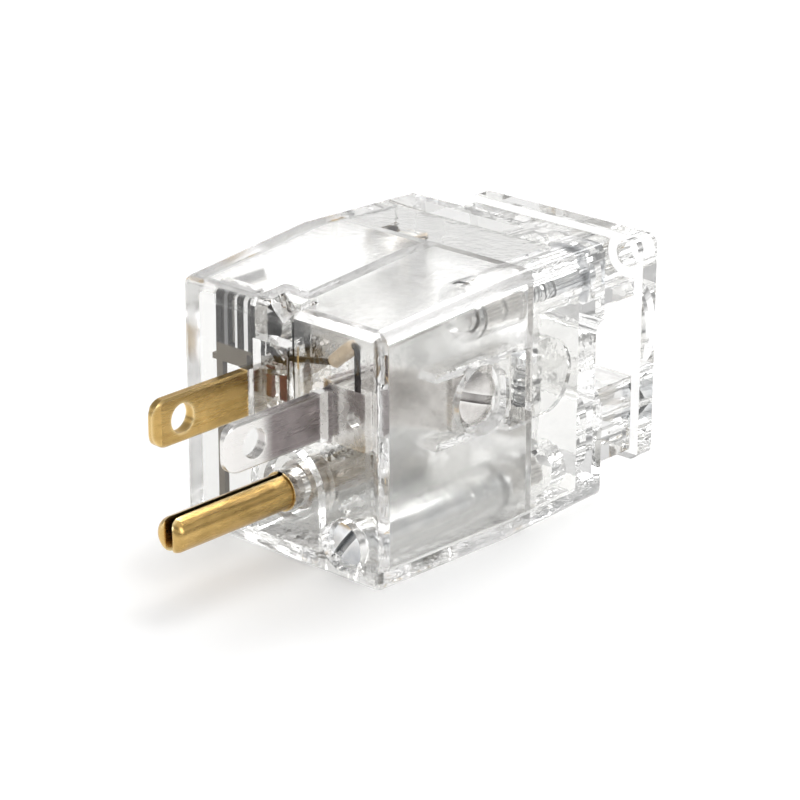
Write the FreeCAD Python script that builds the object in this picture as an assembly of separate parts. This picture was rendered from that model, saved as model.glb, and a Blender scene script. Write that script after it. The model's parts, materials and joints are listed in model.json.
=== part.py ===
import FreeCAD, Part

import math
import os

# Fused plug with a clear housing, in millimetres.
# The origin is on the ground pin's axis, where the pin leaves the mating face.
# +X is to the right as the blades are looked at, +Y runs back to the cord, +Z is up.

Vector = FreeCAD.Vector
across, along, upward = Vector(1, 0, 0), Vector(0, 1, 0), Vector(0, 0, 1)
os.makedirs("parts", exist_ok=True)

# Blades and ground pin
blade_pitch = 12.7
blade_width = 6.35
blade_thickness = 1.52
blade_length = 16.3
blade_tip_radius = 2.2
blade_edge_bevel = 0.25
blade_tip_bevel = 0.45
blade_tip_slope = 1.3
blade_hole_dia = 3.96
blade_hole_from_face = 11.4
blade_above_pin = 11.9
shoulder_width = 8.6
pin_dia = 4.8
pin_length = 20.0
pin_nose_radius = 1.5
pin_slot_width = 0.8
pin_slot_floor = -1.2
pin_lobe_gap = 1.5
pin_lobe_length = 5.2
pin_lobe_radius = 0.75
pin_tail_length = 7.4
pin_tail_half = 1.9
pin_root_swell = 0.5
collar_dia = 6.6
collar_length = 1.2

# Housing, two clear mouldings that meet at the joint plane
crest_half_width = 18.4
face_taper = 1.0
rear_taper = 0.8
face_half_width = crest_half_width - face_taper
rear_half_width = crest_half_width - rear_taper
base_below_pin = 9.1
crest_top = 27.1
face_fall = 1.8
rear_fall = 0.4
face_top = crest_top - face_fall
rear_top = crest_top - rear_fall
body_length = 43.3
crest_share = 0.531
joint_share = 0.6467
crest_y = crest_share * body_length
joint_y = joint_share * body_length
corner_radius = 1.5
face_edge_radius = corner_radius - 0.3
underside_trim = 0.05
face_wall = 2.8
side_wall = 2.0
top_wall = 2.2
floor_wall = 1.9
rear_wall = 4.4
partition_half = 1.1
notch_x = 1.0
notch_half_width = 2.7
notch_depth = 2.3
notch_length = 3.4
seam_width = 0.3
seam_depth = 0.15
seam_end_y = 10.0
rear_room_y = body_length - rear_wall
rear_room_length = rear_room_y - joint_y

# Neck, rear flange and cord entry
neck_side_inset = 3.4
neck_low_inset = 2.9
neck_top_inset = 3.3
neck_half_width = rear_half_width - neck_side_inset
neck_low = neck_low_inset - base_below_pin
neck_high = rear_top - neck_top_inset
flange_side_inset = 1.95
flange_low_inset = 1.5
flange_top_inset = 2.3
flange_half_width = rear_half_width - flange_side_inset
flange_low = flange_low_inset - base_below_pin
flange_high = rear_top - flange_top_inset
flange_thickness = 3.0
neck_and_flange_length = 13.6
plug_length = body_length + neck_and_flange_length
cord_z = (flange_low + flange_high) / 2
cord_bore_dia = 10.4
neck_tube_dia = 14.8
window_below_cord = 3.8
window_above_cord = 7.8
window_low = cord_z - window_below_cord
window_high = cord_z + window_above_cord
window_bite = 1.7
window_start_y = body_length - window_bite
window_corner_radius = 1.6
mouth_bevel = 0.8
driver_hole_dia = 3.8

# Terminals
terminal_share = 0.4319
terminal_front_share = 0.254
terminal_y = terminal_share * body_length
terminal_front_y = terminal_front_share * body_length
terminal_rear_gap = 2.0
terminal_rear_y = joint_y - terminal_rear_gap
terminal_inset = 4.2
terminal_outer_x = crest_half_width - terminal_inset
terminal_thickness = 1.2
terminal_inner_x = terminal_outer_x - terminal_thickness
terminal_half_height = 3.9
terminal_step_gap = 0.2
terminal_step_run = 2.6
tab_side_gap = 0.4
tab_hole_dia = 2.2
tab_hole_x = 10.7
access_hole_dia = 9.4
access_hole_lap = 0.1
rail_depth = 1.2
rail_lap = 0.2
clamp_plate_side = 7.8
clamp_plate_thickness = 1.0
clamp_lip = 0.7
clamp_hollow_share = 0.35
clamp_corner_radius = 0.6

# Screws
head_dia = 7.0
head_height = 2.5
shank_dia = 3.9
shank_length = 6.4
slot_width = 1.2
slot_depth = 1.1
crown_share = 0.28
hot_screw_turn = 70.0
neutral_screw_turn = 70.0
ground_screw_turn = 20.0
case_head_dia = 6.2
case_head_height = 1.9
case_shank_dia = 3.0
case_thread_dia = 2.5
case_thread_length = 14.0
case_screw_inset = 6.7
case_screw_rise = 4.6
case_screw_x = face_half_width - case_screw_inset
case_screw_z = case_screw_rise - base_below_pin
case_head_sink = 0.4
front_screw_turn = 52.0
upper_screw_turn = 15.0
lower_screw_turn = 60.0
upper_screw_inset = 4.4
upper_screw_drop = 4.9
upper_screw_x = face_half_width - upper_screw_inset
upper_screw_z = rear_top - upper_screw_drop
insert_dia = 4.4
insert_length = 7.0
screw_tip_room = 2.0
boss_dia = 6.8
upper_boss_dia = 6.2
upper_boss_end = 2.0

# Indicator lamp between the blades, hung from its stem
lamp_x = -2.7
lamp_y = 3.6
lamp_low = 9.4
lamp_high = 15.9
lamp_dia = 4.6
lamp_wall = 0.3
lamp_stem_height = 0.8
lamp_block_left = -5.45
lamp_block_right = 0.2
lamp_block_rear = 7.0
lamp_block_low = 8.4
electrode_width = 1.2
electrode_thickness = 0.5
electrode_forward = 0.5
electrode_gap = 2.4
electrode_height = 3.6
electrode_drop = 0.2
electrode_edge_radius = 0.2
lead_dia = 0.8
lead_y = 4.1
lead_neck = 0.5
lead_rise = 1.3
lead_spread = 1.9
lead_slot_rise = 3.6
resistor_dia = 1.9
resistor_edge_radius = 0.55
resistor_length = 4.6
resistor_start_x = 6.9
resistor_start_z = 18.5
resistor_slope_deg = 40.0
resistor_bend = 0.6

# Fuse and its two clips
fuse_share = 0.47
fuse_drop = 6.1
fuse_front_y = 4.6
fuse_end_room = 2.55
fuse_x = lamp_block_left - fuse_share * (face_half_width - side_wall + lamp_block_left)
fuse_z = face_top - fuse_drop
fuse_length = rear_room_y - fuse_front_y - fuse_end_room
fuse_dia = 6.35
fuse_cap_length = 6.35
fuse_cap_end = 0.5
fuse_glass_dia = 5.9
fuse_glass_wall = 0.7
fuse_glass_gap = 0.05
fuse_wire_dia = 0.5
fuse_bead_dia = 1.5
clip_sheet = 0.6
clip_length = 5.6
clip_opening_deg = 84.0
clip_lip_length = 1.3
clip_lip_deg = 28.0
clip_shelf_half = 3.2
clip_foot_half = 2.0
clip_end_margin = 0.4
plate_thickness = 0.8
plate_low = -4.7
comb_groove_depth = 1.0
plate_high = face_top - top_wall + comb_groove_depth
comb_right_gap = 0.9
comb_right = lamp_block_left - comb_right_gap
comb_foot_width = 1.1
plate_side_gap = 2.8
plate_outer_x = plate_side_gap + side_wall - face_half_width
comb_slots = [(0.17, 0.3), (0.45, 1.2), (0.77, 0.4)]
comb_root = 1.8
blade_tab_length = 6.4
blade_tab_half_height = 2.6
riser_drop = 1.2
arm_lap = 4.0

# Ground terminal below the pin
strap_thickness = 1.2
strap_half_width = 3.4
strap_past_screw = 4.5
strap_rear_y = terminal_y + strap_past_screw
ground_room_half = 5.4
room_wall = 1.3
sleeve_dia = 8.8
sleeve_reach = 3.5
sleeve_end = face_wall + sleeve_reach
strap_gap = 0.6

# Cord clamp
saddle_inner_dia = 9.0
saddle_outer_dia = 12.4
saddle_length = 5.6
saddle_share = 0.606
saddle_y = joint_y + saddle_share * rear_room_length
ear_thickness = 2.4
ear_gap = 0.6
ear_reach = 11.3
ear_radius = 2.0
saddle_screw_x = 8.9
saddle_head_dia = 4.8
saddle_head_height = 1.6
saddle_shank_dia = 2.8
saddle_insert_dia = 4.0
saddle_insert_length = 4.6
saddle_screw_turn = 35.0
saddle_screw_gap = 0.8
saddle_ridge_width = 3.2
saddle_ridge_length = 1.0
saddle_ridge_height = 0.6
post_dia = 5.8

# Locating tongues at the joint
tongue_low = 5.8
tongue_high = 16.2
tongue_share = 0.88
tongue_length = tongue_share * rear_room_length
tongue_thickness = 1.2
tongue_root = 3.6

# Fits
slot_clearance = 0.12
thread_clearance = 0.05
hole_clearance = 0.25
slide_clearance = 0.1
press_clearance = 0.02
sheet_reach = 2.0
tongue_clearance = 0.15
rivet_dia = 2.2
rivet_head_dia = 3.8
rivet_hole_dia = rivet_dia + 2 * press_clearance
rivet_tail_dia = 3.2
rivet_head_height = 0.7

blade_x = blade_pitch / 2
tail_start = face_wall + plate_thickness + slide_clearance
tail_share = 0.1894
tail_length = tail_share * body_length
clip_shelf_top = fuse_z - fuse_dia / 2 - clip_sheet - slide_clearance
hot_side = -1
neutral_side = 1


def box(x0, x1, y0, y1, z0, z1):
    """A block between two corners."""
    return Part.makeBox(x1 - x0, y1 - y0, z1 - z0, Vector(x0, y0, z0))


def rod(dia, start, end):
    """A round bar between two points."""
    axis = end - start
    return Part.makeCylinder(dia / 2, axis.Length, start, axis)


def tube(outer, inner, start, end):
    """A round bar with a bore right through it."""
    return rod(outer, start, end).cut(rod(inner, start, end))


def sheet_hole(dia, centre, way):
    """A cutter for a hole through thin metal."""
    return rod(dia, centre - way * sheet_reach, centre + way * sheet_reach)


def joined(shapes):
    """Several overlapping solids as one, with the seams taken out."""
    whole = shapes[0]
    for shape in shapes[1:]:
        whole = whole.fuse(shape)
    return whole.removeSplitter()


def rounded_wire(y, left, right, low, high, radius):
    """A rectangle with round corners in the plane at y."""
    centres = [
        (right - radius, high - radius, 0),
        (left + radius, high - radius, 90),
        (left + radius, low + radius, 180),
        (right - radius, low + radius, 270),
    ]
    arcs = []
    for x, z, start in centres:
        points = []
        for degrees in (start, start + 45, start + 90):
            angle = math.radians(degrees)
            points.append(Vector(x + radius * math.cos(angle), y, z + radius * math.sin(angle)))
        arcs.append(points)
    edges = []
    for index, points in enumerate(arcs):
        edges.append(Part.Arc(*points).toShape())
        edges.append(Part.LineSegment(points[2], arcs[(index + 1) % 4][0]).toShape())
    return Part.Wire(edges)


def between(y, y0, value0, y1, value1):
    """The value at y on the straight line through two known ones."""
    return value0 + (value1 - value0) * (y - y0) / (y1 - y0)


def half_width_at(y):
    """Half the body's width, which swells to the crest and draws in again."""
    if y < crest_y:
        return between(y, 0, face_half_width, crest_y, crest_half_width)
    return between(y, crest_y, crest_half_width, body_length, rear_half_width)


def top_at(y):
    """Height of the body's top."""
    if y < crest_y:
        return between(y, 0, face_top, crest_y, crest_top)
    return between(y, crest_y, crest_top, body_length, rear_top)


def body_section(y, side=0.0, top=0.0, bottom=0.0):
    """The body's section at y, drawn in by a wall on each side."""
    half = half_width_at(y) - side
    low = bottom - base_below_pin - underside_trim
    radius = corner_radius if side == 0 else corner_radius / 2
    return rounded_wire(y, -half, half, low, top_at(y) - top, radius)


def body_solid(y0, y1):
    """The full outer form between two planes, creased at the crest."""
    stops = [y0] + [y for y in (crest_y,) if y0 < y < y1] + [y1]
    return Part.makeLoft([body_section(y) for y in stops], True, True)


def flat_below(shape):
    """Trims a moulding's underside to one true plane."""
    reach = 2 * crest_half_width
    return shape.cut(box(-reach, reach, -1, plug_length, -base_below_pin - 2, -base_below_pin))


def body_room(y0, y1):
    """The hollow inside the walls between two planes."""
    stops = [y0] + [y for y in (crest_y,) if y0 < y < y1] + [y1]
    wires = [body_section(y, side_wall, top_wall, floor_wall) for y in stops]
    return Part.makeLoft(wires, True, True)


def export(shape, node):
    """Writes one node's file."""
    shape.exportStep("parts/" + node + ".step")


# Screws


def case_axis(x, z, y0, y1):
    """A screw's centre line from y0 to y1."""
    return Vector(x, y0, z), Vector(x, y1, z)


def slotted_screw(seat, way, head, height, shank, length, thread=None, thread_length=0.0, turn=0.0):
    """A pan-head screw: its head's seat, the way the shank points, and its sizes."""
    radius = head / 2
    crown = height * crown_share
    edge = height - crown
    profile = [Vector(0, 0, 0), Vector(radius, 0, 0), Vector(radius, 0, edge)]
    edges = [Part.LineSegment(profile[0], profile[1]).toShape()]
    edges.append(Part.LineSegment(profile[1], profile[2]).toShape())
    dome = (radius * radius + crown * crown) / (2 * crown)
    lean = math.asin(radius / dome) / 2
    shoulder = Vector(dome * math.sin(lean), 0, height - dome * (1 - math.cos(lean)))
    edges.append(Part.Arc(profile[2], shoulder, Vector(0, 0, height)).toShape())
    edges.append(Part.LineSegment(Vector(0, 0, height), profile[0]).toShape())
    face = Part.Face(Part.Wire(edges))
    solid = face.revolve(Vector(0, 0, 0), Vector(0, 0, 1), 360)
    slot = box(-radius, radius, -slot_width / 2, slot_width / 2, height - slot_depth, height + 1)
    slot.rotate(Vector(0, 0, 0), Vector(0, 0, 1), turn)
    solid = solid.cut(slot)
    plain = length - thread_length
    solid = solid.fuse(rod(shank, Vector(0, 0, 0), Vector(0, 0, -plain)))
    if thread_length:
        tip = Part.makeCone(thread / 2, thread / 4, thread / 4, Vector(0, 0, -length), Vector(0, 0, -1))
        solid = solid.fuse(rod(thread, Vector(0, 0, -plain), Vector(0, 0, -length))).fuse(tip)
    solid = solid.removeSplitter()
    solid.Placement = FreeCAD.Placement(seat, FreeCAD.Rotation(Vector(0, 0, -1), way))
    return solid


# Housing


def corner_bosses():
    """The corner bosses: x, z, boss size, and where each starts."""
    return [
        (case_screw_x, case_screw_z, boss_dia, face_wall / 2),
        (-case_screw_x, case_screw_z, boss_dia, joint_y - insert_length - upper_boss_end),
        (upper_screw_x, upper_screw_z, upper_boss_dia, joint_y - insert_length - upper_boss_end),
    ]


def terminal_rails(side):
    """Two rails on a side wall, above and below the terminal plate."""
    rails = []
    for way in (-1, 1):
        near = blade_above_pin + way * (terminal_half_height + slide_clearance)
        far = near + way * rail_depth
        x0 = side * (terminal_inner_x - rail_lap)
        x1 = side * (half_width_at(terminal_y) - side_wall / 2)
        left, right = min(x0, x1), max(x0, x1)
        low, high = min(near, far), max(near, far)
        rails.append(box(left, right, terminal_front_y, terminal_rear_y, low, high))
    return rails


def tongue(side):
    """A flat tongue with a round end that enters the rear moulding."""
    outer = side * (half_width_at(joint_y + tongue_length) - side_wall - tongue_clearance)
    inner = outer - side * tongue_thickness
    radius = (tongue_high - tongue_low) / 2
    middle = (tongue_high + tongue_low) / 2
    end_y = joint_y + tongue_length - radius
    x0, x1 = min(inner, outer), max(inner, outer)
    plate = box(x0, x1, joint_y - tongue_root, end_y, tongue_low, tongue_high)
    plate = plate.fuse(rod(2 * radius, Vector(x0, end_y, middle), Vector(x1, end_y, middle)))
    wall_x = side * (half_width_at(joint_y) - side_wall / 2)
    left, right = min(inner, wall_x), max(inner, wall_x)
    return plate.fuse(box(left, right, joint_y - tongue_root, joint_y, tongue_low, tongue_high))


def arched_room(half, low, y0, y1):
    """A passage with straight sides and a round arch over the pin's axis."""
    room = rod(2 * half, Vector(0, y0, 0), Vector(0, y1, 0))
    return room.fuse(box(-half, half, y0, y1, low, 0))


def ground_room_walls():
    """Walls and arch round the ground terminal."""
    low = floor_wall / 2 - base_below_pin
    shell = arched_room(ground_room_half + room_wall, low, face_wall / 2, joint_y)
    return shell.cut(arched_room(ground_room_half, low - 1, 0, joint_y + 1))


def front_housing():
    """The front moulding: face, chambers, bosses, rails and tongues."""
    shell = body_solid(0, joint_y)
    face_edges = [e for e in shell.Edges if abs(e.BoundBox.YMin) < 0.01 and abs(e.BoundBox.YMax) < 0.01]
    shell = flat_below(shell.makeFillet(face_edge_radius, face_edges))
    shell = shell.cut(body_room(face_wall, joint_y + 1))
    inner = [shell, ground_room_walls()]
    ceiling = crest_top - top_wall / 2
    core = body_solid(0, joint_y)
    roof = ground_room_half + room_wall / 2
    partition = box(-partition_half, partition_half, lamp_block_rear - 1, joint_y, roof, ceiling)
    inner.append(partition.common(core))
    block = box(lamp_block_left, lamp_block_right, face_wall / 2, lamp_block_rear, lamp_block_low, ceiling)
    clip_room = fuse_dia + 2 * clip_sheet + 2 * slide_clearance
    block = block.cut(rod(clip_room, fuse_point(face_wall), fuse_point(joint_y)))
    inner.append(block.common(core))
    for x, z, dia, start in corner_bosses():
        inner.append(rod(dia, *case_axis(x, z, start, joint_y)))
    for side in (hot_side, neutral_side):
        inner.extend(terminal_rails(side))
        inner.append(tongue(side))
    inner.append(rod(sleeve_dia, Vector(0, face_wall / 2, 0), Vector(0, sleeve_end, 0)))
    shell = joined(inner)
    for cutter in front_cutters():
        shell = shell.cut(cutter)
    return shell.removeSplitter()


def front_cutters():
    """Everything that passes through the front moulding."""
    cutters = []
    half_slot = blade_thickness / 2 + slot_clearance
    slot_half_height = blade_width / 2 + slot_clearance
    for side in (hot_side, neutral_side):
        x = side * blade_x
        low, high = blade_above_pin - slot_half_height, blade_above_pin + slot_half_height
        cutters.append(box(x - half_slot, x + half_slot, -1, face_wall + 1, low, high))
        start_x = side * (terminal_outer_x + clamp_plate_thickness - access_hole_lap)
        start = Vector(start_x, terminal_y, blade_above_pin)
        end = Vector(side * (crest_half_width + 1), terminal_y, blade_above_pin)
        cutters.append(rod(access_hole_dia, start, end))
    pin_hole = pin_dia + pin_root_swell + 2 * slot_clearance
    cutters.append(rod(pin_hole, Vector(0, -1, 0), Vector(0, sleeve_end + 1, 0)))
    ground_start = Vector(0, terminal_y, -base_below_pin - 1)
    ground_end = Vector(0, terminal_y, floor_wall - base_below_pin + access_hole_lap)
    cutters.append(rod(access_hole_dia, ground_start, ground_end))
    clear = case_shank_dia + 2 * hole_clearance
    cutters.append(rod(clear, *case_axis(case_screw_x, case_screw_z, -1, joint_y + 1)))
    head = case_head_dia + 2 * hole_clearance
    cutters.append(rod(head, *case_axis(case_screw_x, case_screw_z, -1, case_head_sink + case_head_height)))
    for x, z in rear_screw_places():
        cutters.append(rod(insert_dia, *case_axis(x, z, joint_y - insert_length, joint_y + 1)))
        cutters.append(rod(clear, *case_axis(x, z, joint_y - case_thread_length, joint_y)))
    lamp_pocket = lamp_dia + 2 * slide_clearance
    pocket_low, pocket_top = lamp_block_low - 1, lamp_high + lead_slot_rise
    cutters.append(rod(lamp_pocket, Vector(lamp_x, lamp_y, pocket_low), Vector(lamp_x, lamp_y, pocket_top)))
    reach = lamp_pocket / 2
    front_y = lamp_y - reach
    cutters.append(box(lamp_x - reach, lamp_x + reach, front_y, lamp_y, pocket_low, pocket_top))
    half = lead_dia / 2 + slide_clearance
    left, right = lamp_block_left - 1, lamp_block_right + 1
    cutters.append(box(left, right, lead_y - half, lead_y + half, lamp_high + half, pocket_top))
    fuse_room = fuse_dia + 2 * hole_clearance
    cutters.append(rod(fuse_room, fuse_point(face_wall), fuse_point(fuse_front_y + fuse_length)))
    cutters.append(comb_groove())
    cutters.append(front_notch())
    cutters.append(top_seam())
    return cutters


def comb_groove():
    """The groove in the ceiling that holds the top edge of the fuse clip's comb."""
    room = slide_clearance
    left, right = plate_outer_x - room, comb_right + room
    y1 = face_wall + plate_thickness + 2 * room
    return box(left, right, face_wall - room, y1, face_top - top_wall - 1, plate_high + room)


def front_notch():
    """The V at the top of the face."""
    bottom = face_top - notch_depth
    rise = notch_depth + 1
    spread = notch_half_width * rise / notch_depth
    points = [
        Vector(notch_x - spread, -1, bottom + rise),
        Vector(notch_x, -1, bottom),
        Vector(notch_x + spread, -1, bottom + rise),
    ]
    return Part.Face(Part.makePolygon(points + points[:1])).extrude(Vector(0, notch_length + 1, 0))


def top_seam():
    """A short shallow line in the top, behind the notch."""
    half = seam_width / 2
    line = box(notch_x - half, notch_x + half, notch_length, seam_end_y, face_top - 1, crest_top + 1)
    stops = (0, crest_y, joint_y + 1)
    below = Part.makeLoft([body_section(y, 0, seam_depth) for y in stops], True, True)
    return line.cut(below)


def rear_screw_places():
    """Corners held by a screw from behind."""
    return [(upper_screw_x, upper_screw_z), (-case_screw_x, case_screw_z)]


def clamp_posts():
    """Two posts on the floor that carry the cord clamp."""
    top = cord_z - ear_gap / 2 - ear_thickness
    floor_z = floor_wall / 2 - base_below_pin
    posts = []
    for x in (-saddle_screw_x, saddle_screw_x):
        posts.append(rod(post_dia, Vector(x, saddle_y, floor_z), Vector(x, saddle_y, top)))
    return posts


def rear_housing():
    """The rear moulding: wiring room, neck, flange and cord entry."""
    shell = flat_below(body_solid(joint_y, body_length))
    shell = shell.cut(body_room(joint_y - 1, rear_room_y))
    flange_y = plug_length - flange_thickness
    neck = box(-neck_half_width, neck_half_width, body_length - 1, flange_y + 1, neck_low, neck_high)
    half = flange_half_width
    flange_front = rounded_wire(flange_y, -half, half, flange_low, flange_high, corner_radius)
    flange = Part.Face(flange_front).extrude(Vector(0, flange_thickness, 0))
    shell = joined([shell, neck, flange])
    for side in (hot_side, neutral_side):
        shell = shell.cut(side_window(side))
    cord_start = Vector(0, window_start_y - 1, cord_z)
    solids = [shell, rod(neck_tube_dia, cord_start, Vector(0, plug_length - 1, cord_z))]
    for x, z, dia, _ in corner_bosses():
        solids.append(rod(dia, *case_axis(x, z, joint_y, rear_room_y + 1)))
    shell = joined(solids + clamp_posts())
    for cutter in rear_cutters():
        shell = shell.cut(cutter)
    return shell.removeSplitter()


def side_window(side):
    """The recess beside the cord tube, open to one side."""
    flange_y = plug_length - flange_thickness
    inner, outer = side * 0.5, side * (crest_half_width + 2)
    wire = rounded_window(inner, window_start_y, flange_y)
    return Part.Face(wire).extrude(Vector(outer - inner, 0, 0))


def rounded_window(x, y0, y1):
    """The window's outline in the plane at x, with round corners at its front."""
    corners = [(y1, window_low), (y1, window_high), (y0, window_high), (y0, window_low)]
    wire = Part.makePolygon([Vector(x, y, z) for y, z in corners + corners[:1]])
    block = Part.Face(wire).extrude(Vector(1, 0, 0))
    across = [e for e in block.Edges if abs(e.BoundBox.XLength - 1) < 0.01]
    front = [e for e in across if abs(e.BoundBox.YMin - y0) < 0.01]
    block = block.makeFillet(window_corner_radius, front)
    faces = [f for f in block.Faces if abs(f.CenterOfMass.x - x) < 0.01]
    return faces[0].OuterWire


def rear_cutters():
    """Everything that passes through the rear moulding."""
    cutters = []
    bore_start, bore_end = Vector(0, joint_y, cord_z), Vector(0, plug_length + 1, cord_z)
    cutters.append(rod(cord_bore_dia, bore_start, bore_end))
    mouth = Part.makeCone(
        cord_bore_dia / 2, cord_bore_dia / 2 + mouth_bevel, mouth_bevel,
        Vector(0, plug_length - mouth_bevel, cord_z), Vector(0, 1, 0))
    cutters.append(mouth)
    clear = case_shank_dia + 2 * hole_clearance
    head = case_head_dia + 2 * hole_clearance
    seat_y = body_length - case_head_height - case_head_sink
    flange_y = plug_length - flange_thickness
    for x, z in rear_screw_places():
        cutters.append(rod(clear, *case_axis(x, z, joint_y - 1, body_length)))
        cutters.append(rod(head, *case_axis(x, z, seat_y, flange_y)))
        cutters.append(rod(driver_hole_dia, *case_axis(x, z, flange_y - 1, plug_length + 1)))
    insert_end = joint_y + insert_length
    cutters.append(rod(insert_dia, *case_axis(case_screw_x, case_screw_z, joint_y - 1, insert_end)))
    tip_end = insert_end + screw_tip_room
    cutters.append(rod(clear, *case_axis(case_screw_x, case_screw_z, joint_y - 1, tip_end)))
    top = cord_z - ear_gap / 2 - ear_thickness
    for x in (-saddle_screw_x, saddle_screw_x):
        bottom = Vector(x, saddle_y, top - saddle_insert_length)
        cutters.append(rod(saddle_insert_dia, bottom, Vector(x, saddle_y, top + 1)))
    return cutters


# Blades and pin


def blade(side):
    """A flat blade with a sloped, round-cornered tip, a hole and a wider tail."""
    x = side * blade_x
    half, thin = blade_width / 2, blade_thickness / 2
    low, high = blade_above_pin - half, blade_above_pin + half
    flat = box(x - thin, x + thin, -blade_length, tail_start, low, high)
    tip = [e for e in flat.Edges if abs(e.BoundBox.YMax + blade_length) < 0.01 and e.BoundBox.XLength > 1]
    flat = flat.makeFillet(blade_tip_radius, tip)
    along = [e for e in flat.Edges if e.BoundBox.YLength > 0.5 and e.BoundBox.XLength < 0.01]
    flat = flat.makeChamfer(blade_edge_bevel, along)
    flat = flat.common(blade_slope(x, low, high))
    half_tail = shoulder_width / 2
    tail_end = tail_start + tail_length
    tail_low, tail_high = blade_above_pin - half_tail, blade_above_pin + half_tail
    tail = box(x - thin, x + thin, tail_start, tail_end, tail_low, tail_high)
    solid = joined([flat, tail])
    hole = Vector(x, -blade_hole_from_face, blade_above_pin)
    solid = solid.cut(sheet_hole(blade_hole_dia, hole, across))
    return solid.cut(sheet_hole(rivet_hole_dia, Vector(x, rivet_y(), blade_above_pin), across))


def blade_slope(x, low, high):
    """The blade's full length in plan, sloped on both sides of its tip."""
    thin, tip = blade_thickness / 2, blade_thickness / 2 - blade_tip_bevel
    slope_y = blade_tip_slope - blade_length
    outline = [(-tip, -blade_length), (tip, -blade_length), (thin, slope_y)]
    outline += [(thin, tail_start), (-thin, tail_start), (-thin, slope_y)]
    points = [Vector(x + offset, y, low) for offset, y in outline]
    return Part.Face(Part.makePolygon(points + points[:1])).extrude(Vector(0, 0, high - low))


def rivet_y():
    """Where the rivet crosses a blade's tail."""
    return tail_start + tail_length / 2


def ground_pin():
    """The folded pin: two legs, an open slot above, a rounded nose and a tail."""
    radius = pin_dia / 2
    nose_y = pin_nose_radius - pin_length
    flat = radius - pin_nose_radius
    outline = [Vector(0, -pin_length, 0), Vector(flat, -pin_length, 0)]
    edges = [Part.LineSegment(*outline).toShape()]
    diagonal = pin_nose_radius * math.sqrt(0.5)
    bend = Vector(flat + diagonal, nose_y - diagonal, 0)
    edges.append(Part.Arc(outline[1], bend, Vector(radius, nose_y, 0)).toShape())
    edges.append(Part.LineSegment(Vector(radius, nose_y, 0), Vector(radius, 0, 0)).toShape())
    edges.append(Part.LineSegment(Vector(radius, 0, 0), Vector(0, 0, 0)).toShape())
    edges.append(Part.LineSegment(Vector(0, 0, 0), outline[0]).toShape())
    body = Part.Face(Part.Wire(edges)).revolve(Vector(0, 0, 0), Vector(0, 1, 0), 360)
    collar_start = sleeve_end + thread_clearance
    collar_end = sleeve_end + collar_length
    body = body.fuse(rod(pin_dia + pin_root_swell, Vector(0, 0, 0), Vector(0, collar_end, 0)))
    body = body.fuse(rod(collar_dia, Vector(0, collar_start, 0), Vector(0, collar_end, 0)))
    half_slot = pin_slot_width / 2
    body = body.cut(box(-half_slot, half_slot, -pin_length - 1, face_wall / 2, pin_slot_floor, radius + 1))
    body = body.cut(nose_parting())
    for side in (-1, 1):
        body = body.cut(lobe_corner(side))
    tail_end = collar_end + pin_tail_length
    tail = box(-pin_tail_half, pin_tail_half, collar_end - 1, tail_end, -strap_thickness, 0)
    body = body.fuse(tail).removeSplitter()
    hole = Vector(0, collar_end + pin_tail_length / 2, -strap_thickness)
    return body.cut(sheet_hole(rivet_hole_dia, hole, upward))


def nose_parting():
    """A wedge right through the nose that parts the two legs."""
    front, back = -pin_length - pin_lobe_length, pin_lobe_length - pin_length
    points = [
        Vector(-pin_lobe_gap, front, -pin_dia),
        Vector(pin_lobe_gap, front, -pin_dia),
        Vector(0, back, -pin_dia),
    ]
    return Part.Face(Part.makePolygon(points + points[:1])).extrude(Vector(0, 0, 2 * pin_dia))


def lobe_corner(side):
    """What rounds the inner corner of one leg's nose, as seen from above."""
    radius = pin_lobe_radius
    inner_x = pin_lobe_gap / 2 * (1 - radius / pin_lobe_length)
    centre_x = side * (inner_x + radius)
    centre_y = radius - pin_length
    left, right = min(0, centre_x), max(0, centre_x)
    corner = box(left, right, -pin_length - 1, centre_y, -pin_dia, pin_dia)
    low, high = Vector(centre_x, centre_y, -pin_dia - 1), Vector(centre_x, centre_y, pin_dia + 1)
    return corner.cut(rod(2 * radius, low, high))


# Terminals


def bent_strip(points, thickness, low, high):
    """A strip on edge that follows points in plan, thickness to the left of travel."""
    offset = []
    count = len(points)
    for index, (x, y) in enumerate(points):
        ways = []
        for a, b in ((index - 1, index), (index, index + 1)):
            if 0 <= a and b < count:
                dx, dy = points[b][0] - points[a][0], points[b][1] - points[a][1]
                length = math.hypot(dx, dy)
                ways.append((-dy / length, dx / length))
        nx = sum(way[0] for way in ways) / len(ways)
        ny = sum(way[1] for way in ways) / len(ways)
        scale = thickness / (nx * nx + ny * ny)
        offset.append((x + nx * scale, y + ny * scale))
    outline = points + offset[::-1]
    wire = Part.makePolygon([Vector(x, y, low) for x, y in outline + outline[:1]])
    return Part.Face(wire).extrude(Vector(0, 0, high - low))


def terminal_hole(side):
    """The tapped hole under a terminal screw."""
    centre = Vector(side * terminal_inner_x, terminal_y, blade_above_pin)
    return sheet_hole(shank_dia + 2 * thread_clearance, centre, across)


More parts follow.
